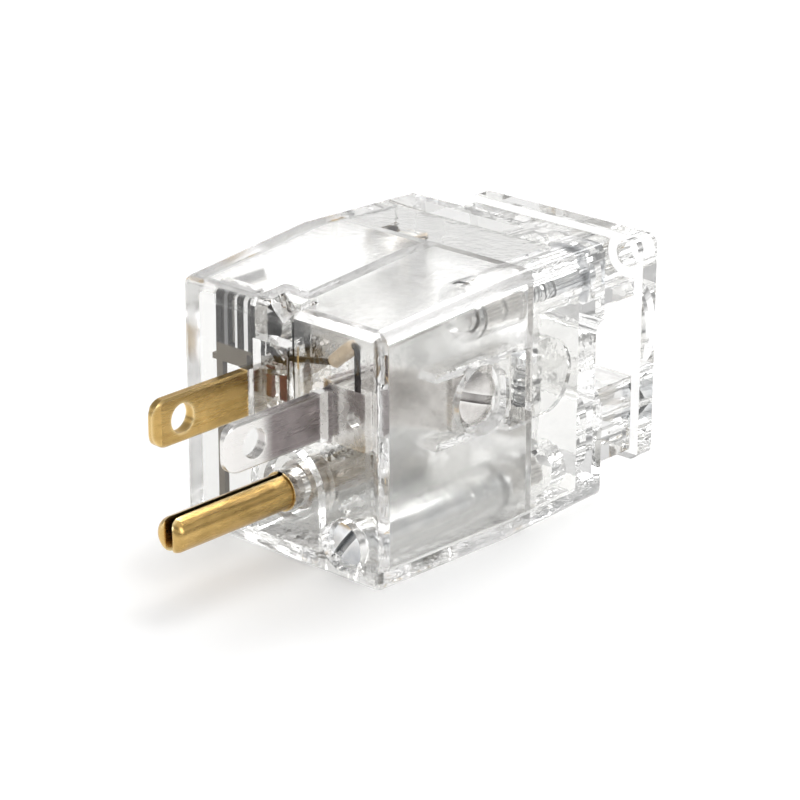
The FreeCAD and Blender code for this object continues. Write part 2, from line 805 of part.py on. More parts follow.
def neutral_terminal():
    """A strip from the neutral blade's tail, stepped out to the side wall."""
    inner = blade_x + blade_thickness / 2
    step_y = tail_start + tail_length + terminal_step_gap
    flat_y = step_y + terminal_step_run
    path = [(inner, tail_start), (inner, step_y), (terminal_inner_x, flat_y)]
    path.append((terminal_inner_x, terminal_rear_y))
    low, high = blade_above_pin - terminal_half_height, blade_above_pin + terminal_half_height
    strip = bent_strip([(x + terminal_thickness, y) for x, y in path], terminal_thickness, low, high)
    tab_end = terminal_inner_x - tab_side_gap
    tab = box(inner, tab_end, tail_start, tail_start + terminal_thickness, low, high)
    tab = tab.cut(sheet_hole(tab_hole_dia, Vector(tab_hole_x, tail_start, blade_above_pin), along))
    strip = joined([strip, tab]).cut(terminal_hole(neutral_side))
    return strip.cut(sheet_hole(rivet_hole_dia, Vector(inner, rivet_y(), blade_above_pin), across))


def hot_terminal():
    """The hot plate on the side wall, running back and up to the fuse's rear clip."""
    x0, x1 = -terminal_outer_x, -terminal_inner_x
    low, high = blade_above_pin - terminal_half_height, blade_above_pin + terminal_half_height
    plate = box(x0, x1, terminal_front_y, terminal_rear_y, low, high)
    shelf_low = clip_shelf_top - terminal_thickness
    arm_low = shelf_low - riser_drop
    reach = clip_length / 2 + clip_end_margin
    start, end = rear_clip_y() - reach, rear_clip_y() + reach
    arm = box(x0, x1, terminal_rear_y - arm_lap, end, arm_low, clip_shelf_top)
    shelf = box(x0, fuse_x + clip_shelf_half, start, end, shelf_low, clip_shelf_top)
    solid = joined([plate, arm, shelf]).cut(terminal_hole(hot_side))
    hole = Vector(fuse_x, rear_clip_y(), shelf_low)
    solid = solid.cut(rod(rivet_head_dia + 2 * hole_clearance, hole - Vector(0, 0, rivet_dia), hole))
    return solid.cut(sheet_hole(rivet_hole_dia, hole, upward))


def ground_terminal():
    """The strap under the pin's tail, tapped for the ground screw."""
    front = sleeve_end + collar_length + strap_gap
    low = -2 * strap_thickness
    strap = box(-strap_half_width, strap_half_width, front, strap_rear_y, low, -strap_thickness)
    strap = strap.cut(sheet_hole(shank_dia + 2 * thread_clearance, Vector(0, terminal_y, low), upward))
    rivet_place = Vector(0, sleeve_end + collar_length + pin_tail_length / 2, low)
    return strap.cut(sheet_hole(rivet_hole_dia, rivet_place, upward))


def clamp_plate(seat, way):
    """A square plate with turned-down lips, loose under a screw's head."""
    half = clamp_plate_side / 2
    plate = box(-half, half, -half, half, 0, clamp_plate_thickness)
    hollow = clamp_plate_thickness * clamp_hollow_share
    plate = plate.cut(box(-half - 1, half + 1, clamp_lip - half, half - clamp_lip, -1, hollow))
    corners = [e for e in plate.Edges if abs(e.BoundBox.ZLength - clamp_plate_thickness) < 0.01]
    plate = plate.makeFillet(clamp_corner_radius, corners)
    plate = plate.cut(sheet_hole(shank_dia + 2 * hole_clearance, Vector(0, 0, 0), upward))
    plate.Placement = FreeCAD.Placement(seat, FreeCAD.Rotation(Vector(0, 0, 1), way))
    return plate


def rivet(start, way, grip):
    """A rivet with a flat head at each end."""
    end = start + way * grip
    shaft = rod(rivet_dia, start, end)
    head = rod(rivet_head_dia, start, start - way * rivet_head_height)
    tail = rod(rivet_tail_dia, end, end + way * rivet_head_height)
    return joined([shaft, head, tail])


# Fuse and clips


def fuse_point(y):
    """A point on the fuse's axis."""
    return Vector(fuse_x, y, fuse_z)


def rear_clip_y():
    """Middle of the rear clip, half way along the rear cap."""
    return fuse_front_y + fuse_length - fuse_cap_length / 2


def front_clip_y():
    """Middle of the front clip."""
    return fuse_front_y + fuse_cap_length / 2


def fuse_cap(end_y, way):
    """A drawn cap on one end of the glass, open towards the middle."""
    inner = fuse_glass_dia + 2 * press_clearance
    bottom = fuse_point(end_y + way * fuse_cap_end)
    cap = rod(fuse_dia, fuse_point(end_y), fuse_point(end_y + way * fuse_cap_length))
    return cap.cut(rod(inner, bottom, fuse_point(end_y + way * (fuse_cap_length + 1))))


def fuse_parts():
    """The glass, the two caps and the wire of a cartridge fuse."""
    back_y = fuse_front_y + fuse_length
    inner = fuse_glass_dia - 2 * fuse_glass_wall
    seat = fuse_cap_end + fuse_glass_gap
    glass = tube(fuse_glass_dia, inner, fuse_point(fuse_front_y + seat), fuse_point(back_y - seat))
    wire = rod(fuse_wire_dia, fuse_point(fuse_front_y + fuse_cap_end), fuse_point(back_y - fuse_cap_end))
    bead = Part.makeSphere(fuse_bead_dia / 2, fuse_point(fuse_front_y + fuse_length / 2))
    return {
        "fuse_glass": glass,
        "fuse_front_cap": fuse_cap(fuse_front_y, 1),
        "fuse_rear_cap": fuse_cap(back_y, -1),
        "fuse_wire": wire.fuse(bead),
    }


def clip_ring(middle_y):
    """Spring fingers round a cap, open above, with lips turned outwards."""
    y0, y1 = middle_y - clip_length / 2, middle_y + clip_length / 2
    inner = fuse_dia + 2 * press_clearance
    ring = tube(inner + 2 * clip_sheet, inner, fuse_point(y0), fuse_point(y1))
    half = math.radians(clip_opening_deg / 2)
    reach = fuse_dia
    mouth = [
        fuse_point(y0 - 1),
        fuse_point(y0 - 1) + Vector(reach * math.sin(half), 0, reach * math.cos(half)),
        fuse_point(y0 - 1) + Vector(-reach * math.sin(half), 0, reach * math.cos(half)),
    ]
    opening = Part.Face(Part.makePolygon(mouth + mouth[:1])).extrude(Vector(0, clip_length + 2, 0))
    parts = [ring.cut(opening)]
    middle_radius = (inner + clip_sheet) / 2
    for way in (-1, 1):
        across, up = middle_radius * math.sin(half), middle_radius * math.cos(half)
        root = fuse_point(y0) + Vector(way * across, 0, up)
        lip = box(-clip_sheet / 2, clip_sheet / 2, 0, clip_length, 0, clip_lip_length)
        lip.rotate(Vector(0, 0, 0), Vector(0, 1, 0), way * clip_lip_deg)
        lip.translate(root)
        parts.append(lip)
    return joined(parts)


def clip_foot(middle_y):
    """The flat under the fingers."""
    top = fuse_z - fuse_dia / 2 + clip_sheet
    y0, y1 = middle_y - clip_length / 2, middle_y + clip_length / 2
    foot = box(fuse_x - clip_foot_half, fuse_x + clip_foot_half, y0, y1, clip_shelf_top, top)
    return foot.cut(rod(fuse_dia + 2 * press_clearance, fuse_point(y0 - 1), fuse_point(y1 + 1)))


def front_fuse_clip():
    """The front clip: an upright comb behind the face, a shelf, the fingers and a tab on the blade."""
    shelf_low = clip_shelf_top - plate_thickness
    y0 = face_wall + slide_clearance / 2
    y1 = y0 + plate_thickness
    end = front_clip_y() + clip_length / 2
    right = -blade_x - blade_thickness / 2 - press_clearance
    slots_low = clip_shelf_top + comb_root
    comb = box(plate_outer_x, right, y0, y1, shelf_low, plate_high)
    over_blade = blade_above_pin + shoulder_width / 2 + hole_clearance
    comb = comb.fuse(box(right - 1, comb_right, y0, y1, over_blade, plate_high))
    comb = comb.fuse(box(plate_outer_x, plate_outer_x + comb_foot_width, y0, y1, plate_low, shelf_low + 1))
    for place, slot in comb_slots:
        left = plate_outer_x + place * (comb_right - plate_outer_x) - slot / 2
        comb = comb.cut(box(left, left + slot, y0 - 1, y1 + 1, slots_low, plate_high + 1))
    shelf = box(fuse_x - clip_shelf_half, right, y0, end, shelf_low, clip_shelf_top)
    tab_low = blade_above_pin - blade_tab_half_height
    tab = box(right - plate_thickness, right, y0, y0 + blade_tab_length, tab_low, clip_shelf_top)
    solid = joined([comb, shelf, tab, clip_foot(front_clip_y()), clip_ring(front_clip_y())])
    half_slot = blade_thickness / 2 + press_clearance
    half_height = shoulder_width / 2 + slide_clearance
    tail_room = box(
        -blade_x - half_slot, -blade_x + half_slot, y0, joint_y,
        blade_above_pin - half_height, blade_above_pin + half_height)
    solid = solid.cut(tail_room)
    return solid.cut(sheet_hole(rivet_hole_dia, Vector(right, rivet_y(), blade_above_pin), across))


def rear_fuse_clip():
    """The rear clip, riveted to the hot terminal's shelf."""
    solid = joined([clip_foot(rear_clip_y()), clip_ring(rear_clip_y())])
    hole = Vector(fuse_x, rear_clip_y(), fuse_z - fuse_dia)
    return solid.cut(rod(rivet_hole_dia, hole, hole + upward * (fuse_dia / 2 + 1)))


def flush_rivet(start, end):
    """A rivet with a head at its start and a flush far end."""
    way = (end - start).normalize()
    head = rod(rivet_head_dia, start, start - way * rivet_head_height)
    return joined([rod(rivet_dia, start, end), head])


def clip_rivet():
    """The rivet that holds the rear clip to its shelf, flush under the fuse."""
    low = Vector(fuse_x, rear_clip_y(), clip_shelf_top - terminal_thickness)
    top = Vector(fuse_x, rear_clip_y(), fuse_z - fuse_dia / 2 - 2 * press_clearance)
    return flush_rivet(low, top)


def hot_rivet():
    """The rivet that holds the comb's tab to the hot blade, flush beside the lamp."""
    inner = Vector(-blade_x + blade_thickness / 2, rivet_y(), blade_above_pin)
    grip = blade_thickness + press_clearance + plate_thickness
    return flush_rivet(inner - Vector(grip, 0, 0), inner)


# Indicator lamp


def lamp_bulb():
    """A small glass bulb with a round end below, hollow and open above."""
    radius = lamp_dia / 2
    top = Vector(lamp_x, lamp_y, lamp_high)
    dome = Vector(lamp_x, lamp_y, lamp_low + radius)
    outer = rod(lamp_dia, dome, top).fuse(Part.makeSphere(radius, dome))
    inner = rod(lamp_dia - 2 * lamp_wall, dome, top + Vector(0, 0, 1))
    inner = inner.fuse(Part.makeSphere(radius - lamp_wall, dome))
    return outer.cut(inner).removeSplitter()


def lamp_stem():
    """The glass plug that seals the bulb above and holds the electrodes' wires."""
    radius = lamp_dia / 2 - lamp_wall - press_clearance
    start = Vector(lamp_x, lamp_y, lamp_high - lamp_stem_height)
    stem = rod(2 * radius, start, Vector(lamp_x, lamp_y, lamp_high))
    for side in (hot_side, neutral_side):
        stem = stem.cut(lamp_lead(side, lead_dia + 2 * press_clearance))
    return stem


def lamp_electrode(side):
    """One flat electrode that hangs below the stem."""
    x = lamp_x + side * electrode_gap / 2
    y = lamp_y - electrode_forward
    half, thin = electrode_width / 2, electrode_thickness / 2
    high = lamp_high - lamp_stem_height - electrode_drop
    bar = box(x - half, x + half, y - thin, y + thin, high - electrode_height, high)
    low_edges = [e for e in bar.Edges if e.BoundBox.ZMax < high - electrode_height + 0.01]
    return bar.makeFillet(electrode_edge_radius, low_edges)


def bent_wire(points, dia):
    """A round wire along straight runs with ball corners."""
    solids = []
    for start, end in zip(points, points[1:]):
        solids.append(rod(dia, start, end))
    for corner in points[1:-1]:
        solids.append(Part.makeSphere(dia / 2, corner))
    return joined(solids)


def resistor_end():
    """Where the resistor's sloped barrel ends."""
    slope = math.radians(resistor_slope_deg)
    start = Vector(resistor_start_x, lead_y, resistor_start_z)
    return start + Vector(math.cos(slope), 0, math.sin(slope)) * resistor_length


def lead_points(side):
    """A lead's corners, from its electrode up and out to the metal that it joins."""
    plate_top = lamp_high - lamp_stem_height - electrode_drop
    root_x = lamp_x + side * electrode_gap / 2
    neck_x = lamp_x + side * lead_neck
    arm_z = lamp_high + lead_rise
    points = [Vector(root_x, lead_y, plate_top)]
    points.append(Vector(root_x, lead_y, plate_top + lead_dia))
    points.append(Vector(neck_x, lead_y, lamp_high))
    points.append(Vector(lamp_x + side * lead_spread, lead_y, arm_z))
    if side == hot_side:
        points.append(Vector(-blade_x, lead_y, arm_z))
        points.append(Vector(-blade_x, lead_y, blade_above_pin + shoulder_width / 2))
        return points
    points.append(Vector(resistor_start_x, lead_y, resistor_start_z))
    bend = resistor_end() + Vector(resistor_bend, 0, 0)
    points.append(resistor_end())
    points.append(bend)
    points.append(Vector(bend.x, lead_y, blade_above_pin + terminal_half_height))
    return points


def lamp_lead(side, dia=lead_dia):
    """The wire from one electrode."""
    return bent_wire(lead_points(side), dia)


def resistor():
    """A barrel on the neutral lead, with rounded ends."""
    start, end = Vector(resistor_start_x, lead_y, resistor_start_z), resistor_end()
    barrel = rod(resistor_dia, start, end)
    ends = [e for e in barrel.Edges if e.isClosed()]
    barrel = barrel.makeFillet(resistor_edge_radius, ends)
    return barrel.cut(lamp_lead(neutral_side, lead_dia + 2 * press_clearance))


# Cord clamp


def saddle(way):
    """One half of the cord clamp: an arch with an ear on each side."""
    y0, y1 = saddle_y - saddle_length / 2, saddle_y + saddle_length / 2
    near = cord_z + way * ear_gap / 2
    far = near + way * ear_thickness
    low, high = min(near, far), max(near, far)
    ears = box(-ear_reach, ear_reach, y0, y1, low, high)
    upright = [e for e in ears.Edges if e.BoundBox.ZLength > ear_thickness - 0.01]
    ears = ears.makeFillet(ear_radius, upright)
    arch = rod(saddle_outer_dia, Vector(0, y0, cord_z), Vector(0, y1, cord_z))
    reach = saddle_outer_dia
    side = box(-reach, reach, y0, y1, min(near, near + way * reach), max(near, near + way * reach))
    solid = joined([ears, arch.common(side)])
    solid = solid.cut(rod(saddle_inner_dia, Vector(0, y0 - 1, cord_z), Vector(0, y1 + 1, cord_z)))
    ridge_y = saddle_y - saddle_ridge_length / 2
    start, end = Vector(0, ridge_y, cord_z), Vector(0, ridge_y + saddle_ridge_length, cord_z)
    ring = tube(saddle_inner_dia + clamp_lip, saddle_inner_dia - 2 * saddle_ridge_height, start, end)
    strip = box(-saddle_ridge_width / 2, saddle_ridge_width / 2, y0, y1, cord_z - reach, cord_z + reach)
    solid = solid.fuse(ring.common(strip).common(side)).removeSplitter()
    for x in (-saddle_screw_x, saddle_screw_x):
        start, end = Vector(x, saddle_y, low - 1), Vector(x, saddle_y, high + 1)
        solid = solid.cut(rod(saddle_shank_dia + 2 * hole_clearance, start, end))
    return solid


def saddle_screw(x):
    """A screw through both saddles into its post."""
    seat = Vector(x, saddle_y, cord_z + ear_gap / 2 + ear_thickness)
    length = 2 * ear_thickness + ear_gap + saddle_insert_length - saddle_screw_gap
    return slotted_screw(
        seat, Vector(0, 0, -1), saddle_head_dia, saddle_head_height, saddle_shank_dia, length,
        turn=saddle_screw_turn)


def saddle_insert(x):
    """A threaded brass bush in a post."""
    top = cord_z - ear_gap / 2 - ear_thickness
    outer = saddle_insert_dia - 2 * press_clearance
    inner = saddle_shank_dia + 2 * thread_clearance
    return tube(outer, inner, Vector(x, saddle_y, top - saddle_insert_length), Vector(x, saddle_y, top))


def case_insert(x, z, y0):
    """A threaded brass bush in a corner boss."""
    outer = insert_dia - 2 * press_clearance
    inner = case_shank_dia + 2 * thread_clearance
    return tube(outer, inner, *case_axis(x, z, y0, y0 + insert_length))


def front_case_screw():
    """The screw in the mating face, which reaches into the rear moulding."""
    seat_y = case_head_sink + case_head_height
    length = joint_y + insert_length - seat_y
    return slotted_screw(
        Vector(case_screw_x, seat_y, case_screw_z), Vector(0, 1, 0), case_head_dia, case_head_height,
        case_shank_dia, length, case_thread_dia, case_thread_length, turn=front_screw_turn)


def rear_case_screw(x, z, turn):
    """A screw from behind, which reaches into the front moulding."""
    seat_y = body_length - case_head_height - case_head_sink
    length = seat_y - joint_y + insert_length
    return slotted_screw(
        Vector(x, seat_y, z), Vector(0, -1, 0), case_head_dia, case_head_height,
        case_shank_dia, length, case_thread_dia, case_thread_length, turn=turn)


def side_terminal_screw(side, turn):
    """A binding screw that faces out of a side wall's access hole."""
    seat = Vector(side * (terminal_outer_x + clamp_plate_thickness), terminal_y, blade_above_pin)
    way = Vector(-side, 0, 0)
    return slotted_screw(seat, way, head_dia, head_height, shank_dia, shank_length, turn=turn)


def ground_screw():
    """The binding screw that faces down out of the floor's access hole."""
    seat = Vector(0, terminal_y, -2 * strap_thickness - clamp_plate_thickness)
    way = Vector(0, 0, 1)
    return slotted_screw(seat, way, head_dia, head_height, shank_dia, shank_length, turn=ground_screw_turn)


def build():
    """Makes every node and writes it."""
    nodes = {
        "front_housing": front_housing(),
        "rear_housing": rear_housing(),
        "hot_blade": blade(hot_side),
        "neutral_blade": blade(neutral_side),
        "ground_pin": ground_pin(),
        "front_fuse_clip": front_fuse_clip(),
        "rear_fuse_clip": rear_fuse_clip(),
        "hot_terminal": hot_terminal(),
        "neutral_terminal": neutral_terminal(),
        "ground_terminal": ground_terminal(),
        "hot_terminal_screw": side_terminal_screw(hot_side, hot_screw_turn),
        "neutral_terminal_screw": side_terminal_screw(neutral_side, neutral_screw_turn),
        "ground_terminal_screw": ground_screw(),
        "front_case_screw": front_case_screw(),
        "upper_case_screw": rear_case_screw(upper_screw_x, upper_screw_z, upper_screw_turn),
        "lower_case_screw": rear_case_screw(-case_screw_x, case_screw_z, lower_screw_turn),
        "lamp_bulb": lamp_bulb(),
        "lamp_stem": lamp_stem(),
        "hot_electrode": lamp_electrode(hot_side),
        "neutral_electrode": lamp_electrode(neutral_side),
        "hot_lamp_lead": lamp_lead(hot_side),
        "neutral_lamp_lead": lamp_lead(neutral_side),
        "lamp_resistor": resistor(),
        "lower_cord_saddle": saddle(-1),
        "upper_cord_saddle": saddle(1),
    }
    nodes.update(fuse_parts())
    for name, side in (("hot", hot_side), ("neutral", neutral_side)):
        seat = Vector(side * terminal_outer_x, terminal_y, blade_above_pin)
        nodes[name + "_wire_plate"] = clamp_plate(seat, Vector(side, 0, 0))
    nodes["ground_wire_plate"] = clamp_plate(Vector(0, terminal_y, -2 * strap_thickness), Vector(0, 0, -1))
    for name, x in (("left", -saddle_screw_x), ("right", saddle_screw_x)):
        nodes[name + "_saddle_screw"] = saddle_screw(x)
        nodes[name + "_saddle_insert"] = saddle_insert(x)
    nodes["front_screw_insert"] = case_insert(case_screw_x, case_screw_z, joint_y)
    for name, (x, z) in zip(("upper", "lower"), rear_screw_places()):
        nodes[name + "_screw_insert"] = case_insert(x, z, joint_y - insert_length)
    blade_outer = blade_x + blade_thickness / 2
    start = Vector(blade_x - blade_thickness / 2, rivet_y(), blade_above_pin)
    nodes["neutral_rivet"] = rivet(start, Vector(1, 0, 0), blade_outer + terminal_thickness - start.x)
    nodes["hot_rivet"] = hot_rivet()
    nodes["clip_rivet"] = clip_rivet()
    pin_rivet = Vector(0, sleeve_end + collar_length + pin_tail_length / 2, 0)
    nodes["ground_rivet"] = rivet(pin_rivet, Vector(0, 0, -1), 2 * strap_thickness)
    for name, shape in nodes.items():
        solids = len(shape.Solids)
        print(name, "valid" if shape.isValid() else "NOT VALID", solids, round(shape.Volume, 2))
        export(shape, name)
    print("nodes", len(nodes))


build()
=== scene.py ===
import json
import math

import bmesh
import bpy
from mathutils import Matrix, Vector


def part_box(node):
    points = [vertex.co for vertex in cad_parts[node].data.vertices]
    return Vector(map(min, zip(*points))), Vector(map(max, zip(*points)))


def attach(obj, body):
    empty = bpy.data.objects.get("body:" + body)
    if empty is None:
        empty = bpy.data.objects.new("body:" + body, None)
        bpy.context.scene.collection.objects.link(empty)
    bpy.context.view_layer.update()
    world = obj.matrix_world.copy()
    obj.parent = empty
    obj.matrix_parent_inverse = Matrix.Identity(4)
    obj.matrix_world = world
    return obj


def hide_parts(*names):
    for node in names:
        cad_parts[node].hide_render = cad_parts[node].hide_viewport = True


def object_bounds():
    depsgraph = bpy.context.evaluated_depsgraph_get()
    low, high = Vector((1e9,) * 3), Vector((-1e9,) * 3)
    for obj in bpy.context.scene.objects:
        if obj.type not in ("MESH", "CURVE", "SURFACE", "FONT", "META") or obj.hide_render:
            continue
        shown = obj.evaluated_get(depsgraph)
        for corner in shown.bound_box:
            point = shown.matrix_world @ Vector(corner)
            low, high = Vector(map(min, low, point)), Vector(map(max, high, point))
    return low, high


# A fused plug with a clear housing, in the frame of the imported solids.
# The scene is in metres. The dictionaries of pieces and finishes are in millimetres.

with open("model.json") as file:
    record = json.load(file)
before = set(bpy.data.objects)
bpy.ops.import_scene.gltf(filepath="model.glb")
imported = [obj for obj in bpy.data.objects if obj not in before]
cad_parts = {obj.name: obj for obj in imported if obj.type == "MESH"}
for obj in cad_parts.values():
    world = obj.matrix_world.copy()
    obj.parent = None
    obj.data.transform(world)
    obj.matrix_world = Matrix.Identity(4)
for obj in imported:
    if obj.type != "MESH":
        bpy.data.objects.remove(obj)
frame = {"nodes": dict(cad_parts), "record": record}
cadLow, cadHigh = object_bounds()
scene = bpy.context.scene
mm = 0.001
print("frame loaded,", len(frame["nodes"]), "nodes")

cameraView = {
    "place": (0.25432, -0.25545, 0.14977),
    "look": (-0.63057, 0.68962, -0.35609),
    "up": (-0.24029, 0.26279, 0.93445),
    "lens": 137.4,
    "sensor": 36.0,
    "nearest": 0.01,
}


def addCamera(view):
    look, up = Vector(view["look"]).normalized(), Vector(view["up"]).normalized()
    right = look.cross(up).normalized()
    up = right.cross(look)
    data = bpy.data.cameras.new("plugCamera")
    data.lens = view["lens"]
    data.sensor_width = view["sensor"]
    data.clip_start = view["nearest"]
    camera = bpy.data.objects.new("plugCamera", data)
    scene.collection.objects.link(camera)
    turn = Matrix((right, up, -look)).transposed().to_4x4()
    camera.matrix_world = Matrix.Translation(view["place"]) @ turn
    scene.camera = camera


# an input is a number, a colour or another node's output
def addNode(tree, kind, inputs=None, **settings):
    made = tree.nodes.new(kind)
    for key, value in settings.items():
        setattr(made, key, value)
    for key, value in (inputs or {}).items():
        if isinstance(value, bpy.types.NodeSocket):
            tree.links.new(value, made.inputs[key])
        else:
            made.inputs[key].default_value = value
    return made


def calc(tree, operation, first, second=0.0):
    made = addNode(tree, "ShaderNodeMath", {0: first, 1: second}, operation=operation)
    return made.outputs[0]


def ramp(tree, factor, stops):
    made = addNode(tree, "ShaderNodeValToRGB", {0: factor})
    elements = made.color_ramp.elements
    while len(elements) < len(stops):
        elements.new(0.5)
    for element, (place, colour) in zip(elements, stops):
        element.position = place
        element.color = (*colour, 1.0)
    return made.outputs[0]


def grey(level):
    return (level, level, level)


def greyRamp(tree, factor, stops):
    return ramp(tree, factor, [(place, grey(level)) for place, level in stops])


# 1 for rays that show the room: straight, mirrored or seen through the plastic
def shownShare(tree):
    path = addNode(tree, "ShaderNodeLightPath")
    seen = calc(tree, "MAXIMUM", path.outputs["Is Camera Ray"], path.outputs["Is Glossy Ray"])
    return calc(tree, "MAXIMUM", seen, path.outputs["Is Transmission Ray"])


floorPaper = {"colour": 0.92, "lift": 0.12, "roughness": 0.9, "gloss": 0.1, "reach": 3.0}


def addFloor(look):
    low, reach = cadLow.z, look["reach"]
    mesh = bpy.data.meshes.new("paleFloor")
    corners = [(-reach, -reach, low), (reach, -reach, low), (reach, reach, low), (-reach, reach, low)]
    mesh.from_pydata(corners, [], [(0, 1, 2, 3)])
    floor = bpy.data.objects.new("paleFloor", mesh)
    scene.collection.objects.link(floor)
    material = bpy.data.materials.new("floorPaper")
    material.use_nodes = True
    tree = material.node_tree
    shader = tree.nodes["Principled BSDF"]
    shader.inputs["Roughness"].default_value = look["roughness"]
    shader.inputs["Specular IOR Level"].default_value = look["gloss"]
    shader.inputs["Base Color"].default_value = (*grey(look["colour"]), 1.0)
    shader.inputs["Emission Color"].default_value = (1.0, 1.0, 1.0, 1.0)
    lift = calc(tree, "MULTIPLY", shownShare(tree), look["lift"])
    tree.links.new(lift, shader.inputs["Emission Strength"])
    mesh.materials.append(material)


# greys by height, from straight down at 0 to straight up at 1
room = {
    "strength": 0.62,
    "lit": [(0.00, 0.98), (0.50, 0.98), (0.60, 0.82), (0.72, 0.66), (0.84, 0.80), (0.93, 0.98)],
    "shown": [
        (0.00, 0.98), (0.50, 0.98), (0.54, 0.55), (0.60, 0.22), (0.66, 0.55), (0.72, 0.98),
        (0.78, 0.55), (0.84, 0.22), (0.90, 0.55), (0.95, 0.98)],
}


# one room lights the plug, and one with darker flags is mirrored and refracted by it
def addRoom(look):
    world = bpy.data.worlds.new("studioRoom")
    scene.world = world
    world.use_nodes = True
    tree = world.node_tree
    tree.nodes.clear()
    direction = addNode(tree, "ShaderNodeTexCoord").outputs["Generated"]
    parts = addNode(tree, "ShaderNodeSeparateXYZ", {0: direction})
    height = calc(tree, "MULTIPLY_ADD", parts.outputs["Z"], 0.5)
    height.node.inputs[2].default_value = 0.5
    lit = addNode(tree, "ShaderNodeBackground", {
        "Color": greyRamp(tree, height, look["lit"]), "Strength": look["strength"]})
    shown = addNode(tree, "ShaderNodeBackground", {
        "Color": greyRamp(tree, height, look["shown"]), "Strength": 1.0})
    mix = addNode(tree, "ShaderNodeMixShader", {
        0: shownShare(tree), 1: lit.outputs[0], 2: shown.outputs[0]})
    addNode(tree, "ShaderNodeOutputWorld", {"Surface": mix.outputs[0]})


# name, place, side and power of each square lamp
lamps = {
    "aim": (0.0, 0.022, 0.009),
    "all": [
        ("keyLamp", (-0.25, 0.66, 0.85), 0.60, 6.4),
        ("sideLamp", (0.80, -0.20, 0.60), 0.50, 3.0),
        ("frontLamp", (-0.30, -0.90, 0.45), 0.45, 2.0)],
}


def addLamps(setup):
    for name, place, side, power in setup["all"]:
        data = bpy.data.lights.new(name, "AREA")
        data.shape = "SQUARE"
        data.size = side
        data.energy = power
        lamp = bpy.data.objects.new(name, data)
        scene.collection.objects.link(lamp)
        lamp.location = place
        lamp.rotation_euler = (Vector(setup["aim"]) - Vector(place)).to_track_quat("-Z", "Y").to_euler()


lightBounces = 32  # the clear housing has many walls one behind another

addCamera(cameraView)
addFloor(floorPaper)
addRoom(room)
addLamps(lamps)
scene.view_settings.view_transform = "Standard"
scene.cycles.max_bounces = lightBounces
scene.cycles.glossy_bounces = lightBounces
scene.cycles.transmission_bounces = lightBounces
scene.cycles.transparent_max_bounces = lightBounces
print("camera, floor and lamps set")


def startFinish(name):
    material = bpy.data.materials.new(name)
    material.use_nodes = True
    tree = material.node_tree
    return material, tree, tree.nodes["Principled BSDF"]


def noise(tree, scale, detail=4.0, roughness=0.5, stretch=(1.0, 1.0, 1.0)):
    where = addNode(tree, "ShaderNodeTexCoord").outputs["Object"]
    mapped = addNode(tree, "ShaderNodeMapping", {"Vector": where, "Scale": stretch})
    made = addNode(tree, "ShaderNodeTexNoise", {
        "Vector": mapped.outputs[0], "Scale": scale, "Detail": detail, "Roughness": roughness})
    return made.outputs["Fac"]


def bump(tree, shader, height, strength, distance):
    made = addNode(tree, "ShaderNodeBump", {"Height": height, "Strength": strength, "Distance": distance})
    tree.links.new(made.outputs[0], shader.inputs["Normal"])


noiseRange = (0.3, 0.7)  # most of a noise lies between these


def spread(tree, factor, low, high):
    made = addNode(tree, "ShaderNodeMapRange", {
        "Value": factor, "From Min": noiseRange[0], "From Max": noiseRange[1],
        "To Min": low, "To Max": high})
    return made.outputs[0]


def opaque(colour):
    return (*colour, 1.0) if isinstance(colour, tuple) else colour


# the sockets are named by number, because a Mix node has several of each name
def blend(tree, factor, first, second):
    sides = {0: factor, 6: opaque(first), 7: opaque(second)}
    return addNode(tree, "ShaderNodeMix", sides, data_type="RGBA").outputs[2]


def within(tree, value, goal, reach):
    made = addNode(tree, "ShaderNodeMath", {0: value, 1: goal, 2: reach}, operation="COMPARE")
    return made.outputs[0]


# the place along an axis, in millimetres
def placeOn(tree, axis):
    where = addNode(tree, "ShaderNodeTexCoord").outputs["Object"]
    parts = addNode(tree, "ShaderNodeSeparateXYZ", {0: where})
    return calc(tree, "MULTIPLY", parts.outputs[axis], 1 / mm)


# 0 up to one place along an axis and 1 from the other on
def alongShare(tree, axis, start, end):
    share = addNode(tree, "ShaderNodeMapRange", {
        "Value": placeOn(tree, axis), "From Min": start, "From Max": end})
    return share.outputs[0]


# lamps shine through a clear wall, so what is inside is lit
def letLampsThrough(tree, shader, tint):
    path = addNode(tree, "ShaderNodeLightPath")
    clear = addNode(tree, "ShaderNodeBsdfTransparent", {"Color": (*tint, 1.0)})
    mix = addNode(tree, "ShaderNodeMixShader", {
        0: path.outputs["Is Shadow Ray"], 1: shader.outputs[0], 2: clear.outputs[0]})
    tree.links.new(mix.outputs[0], tree.nodes["Material Output"].inputs["Surface"])


# the shape of the mouldings' outside, and how their faces look
housing = {
    "crestHalfWidth": 18.4, "faceTaper": 1.0, "rearTaper": 0.8,
    "crestTop": 27.1, "faceFall": 1.8, "rearFall": 0.4,
    "crestY": 23.0, "bodyLength": 43.3, "jointY": 28.0,
    "sideWall": 2.0, "topWall": 2.2,
    "frost": 0.22, "frostReach": 0.45, "frostTint": (0.990, 0.987, 0.976),
    "outside": 0.3, "outsideTint": (1.0, 0.998, 0.992),
    "skin": 0.7, "rippleScale": 750.0, "innerRipple": 4.0,
}


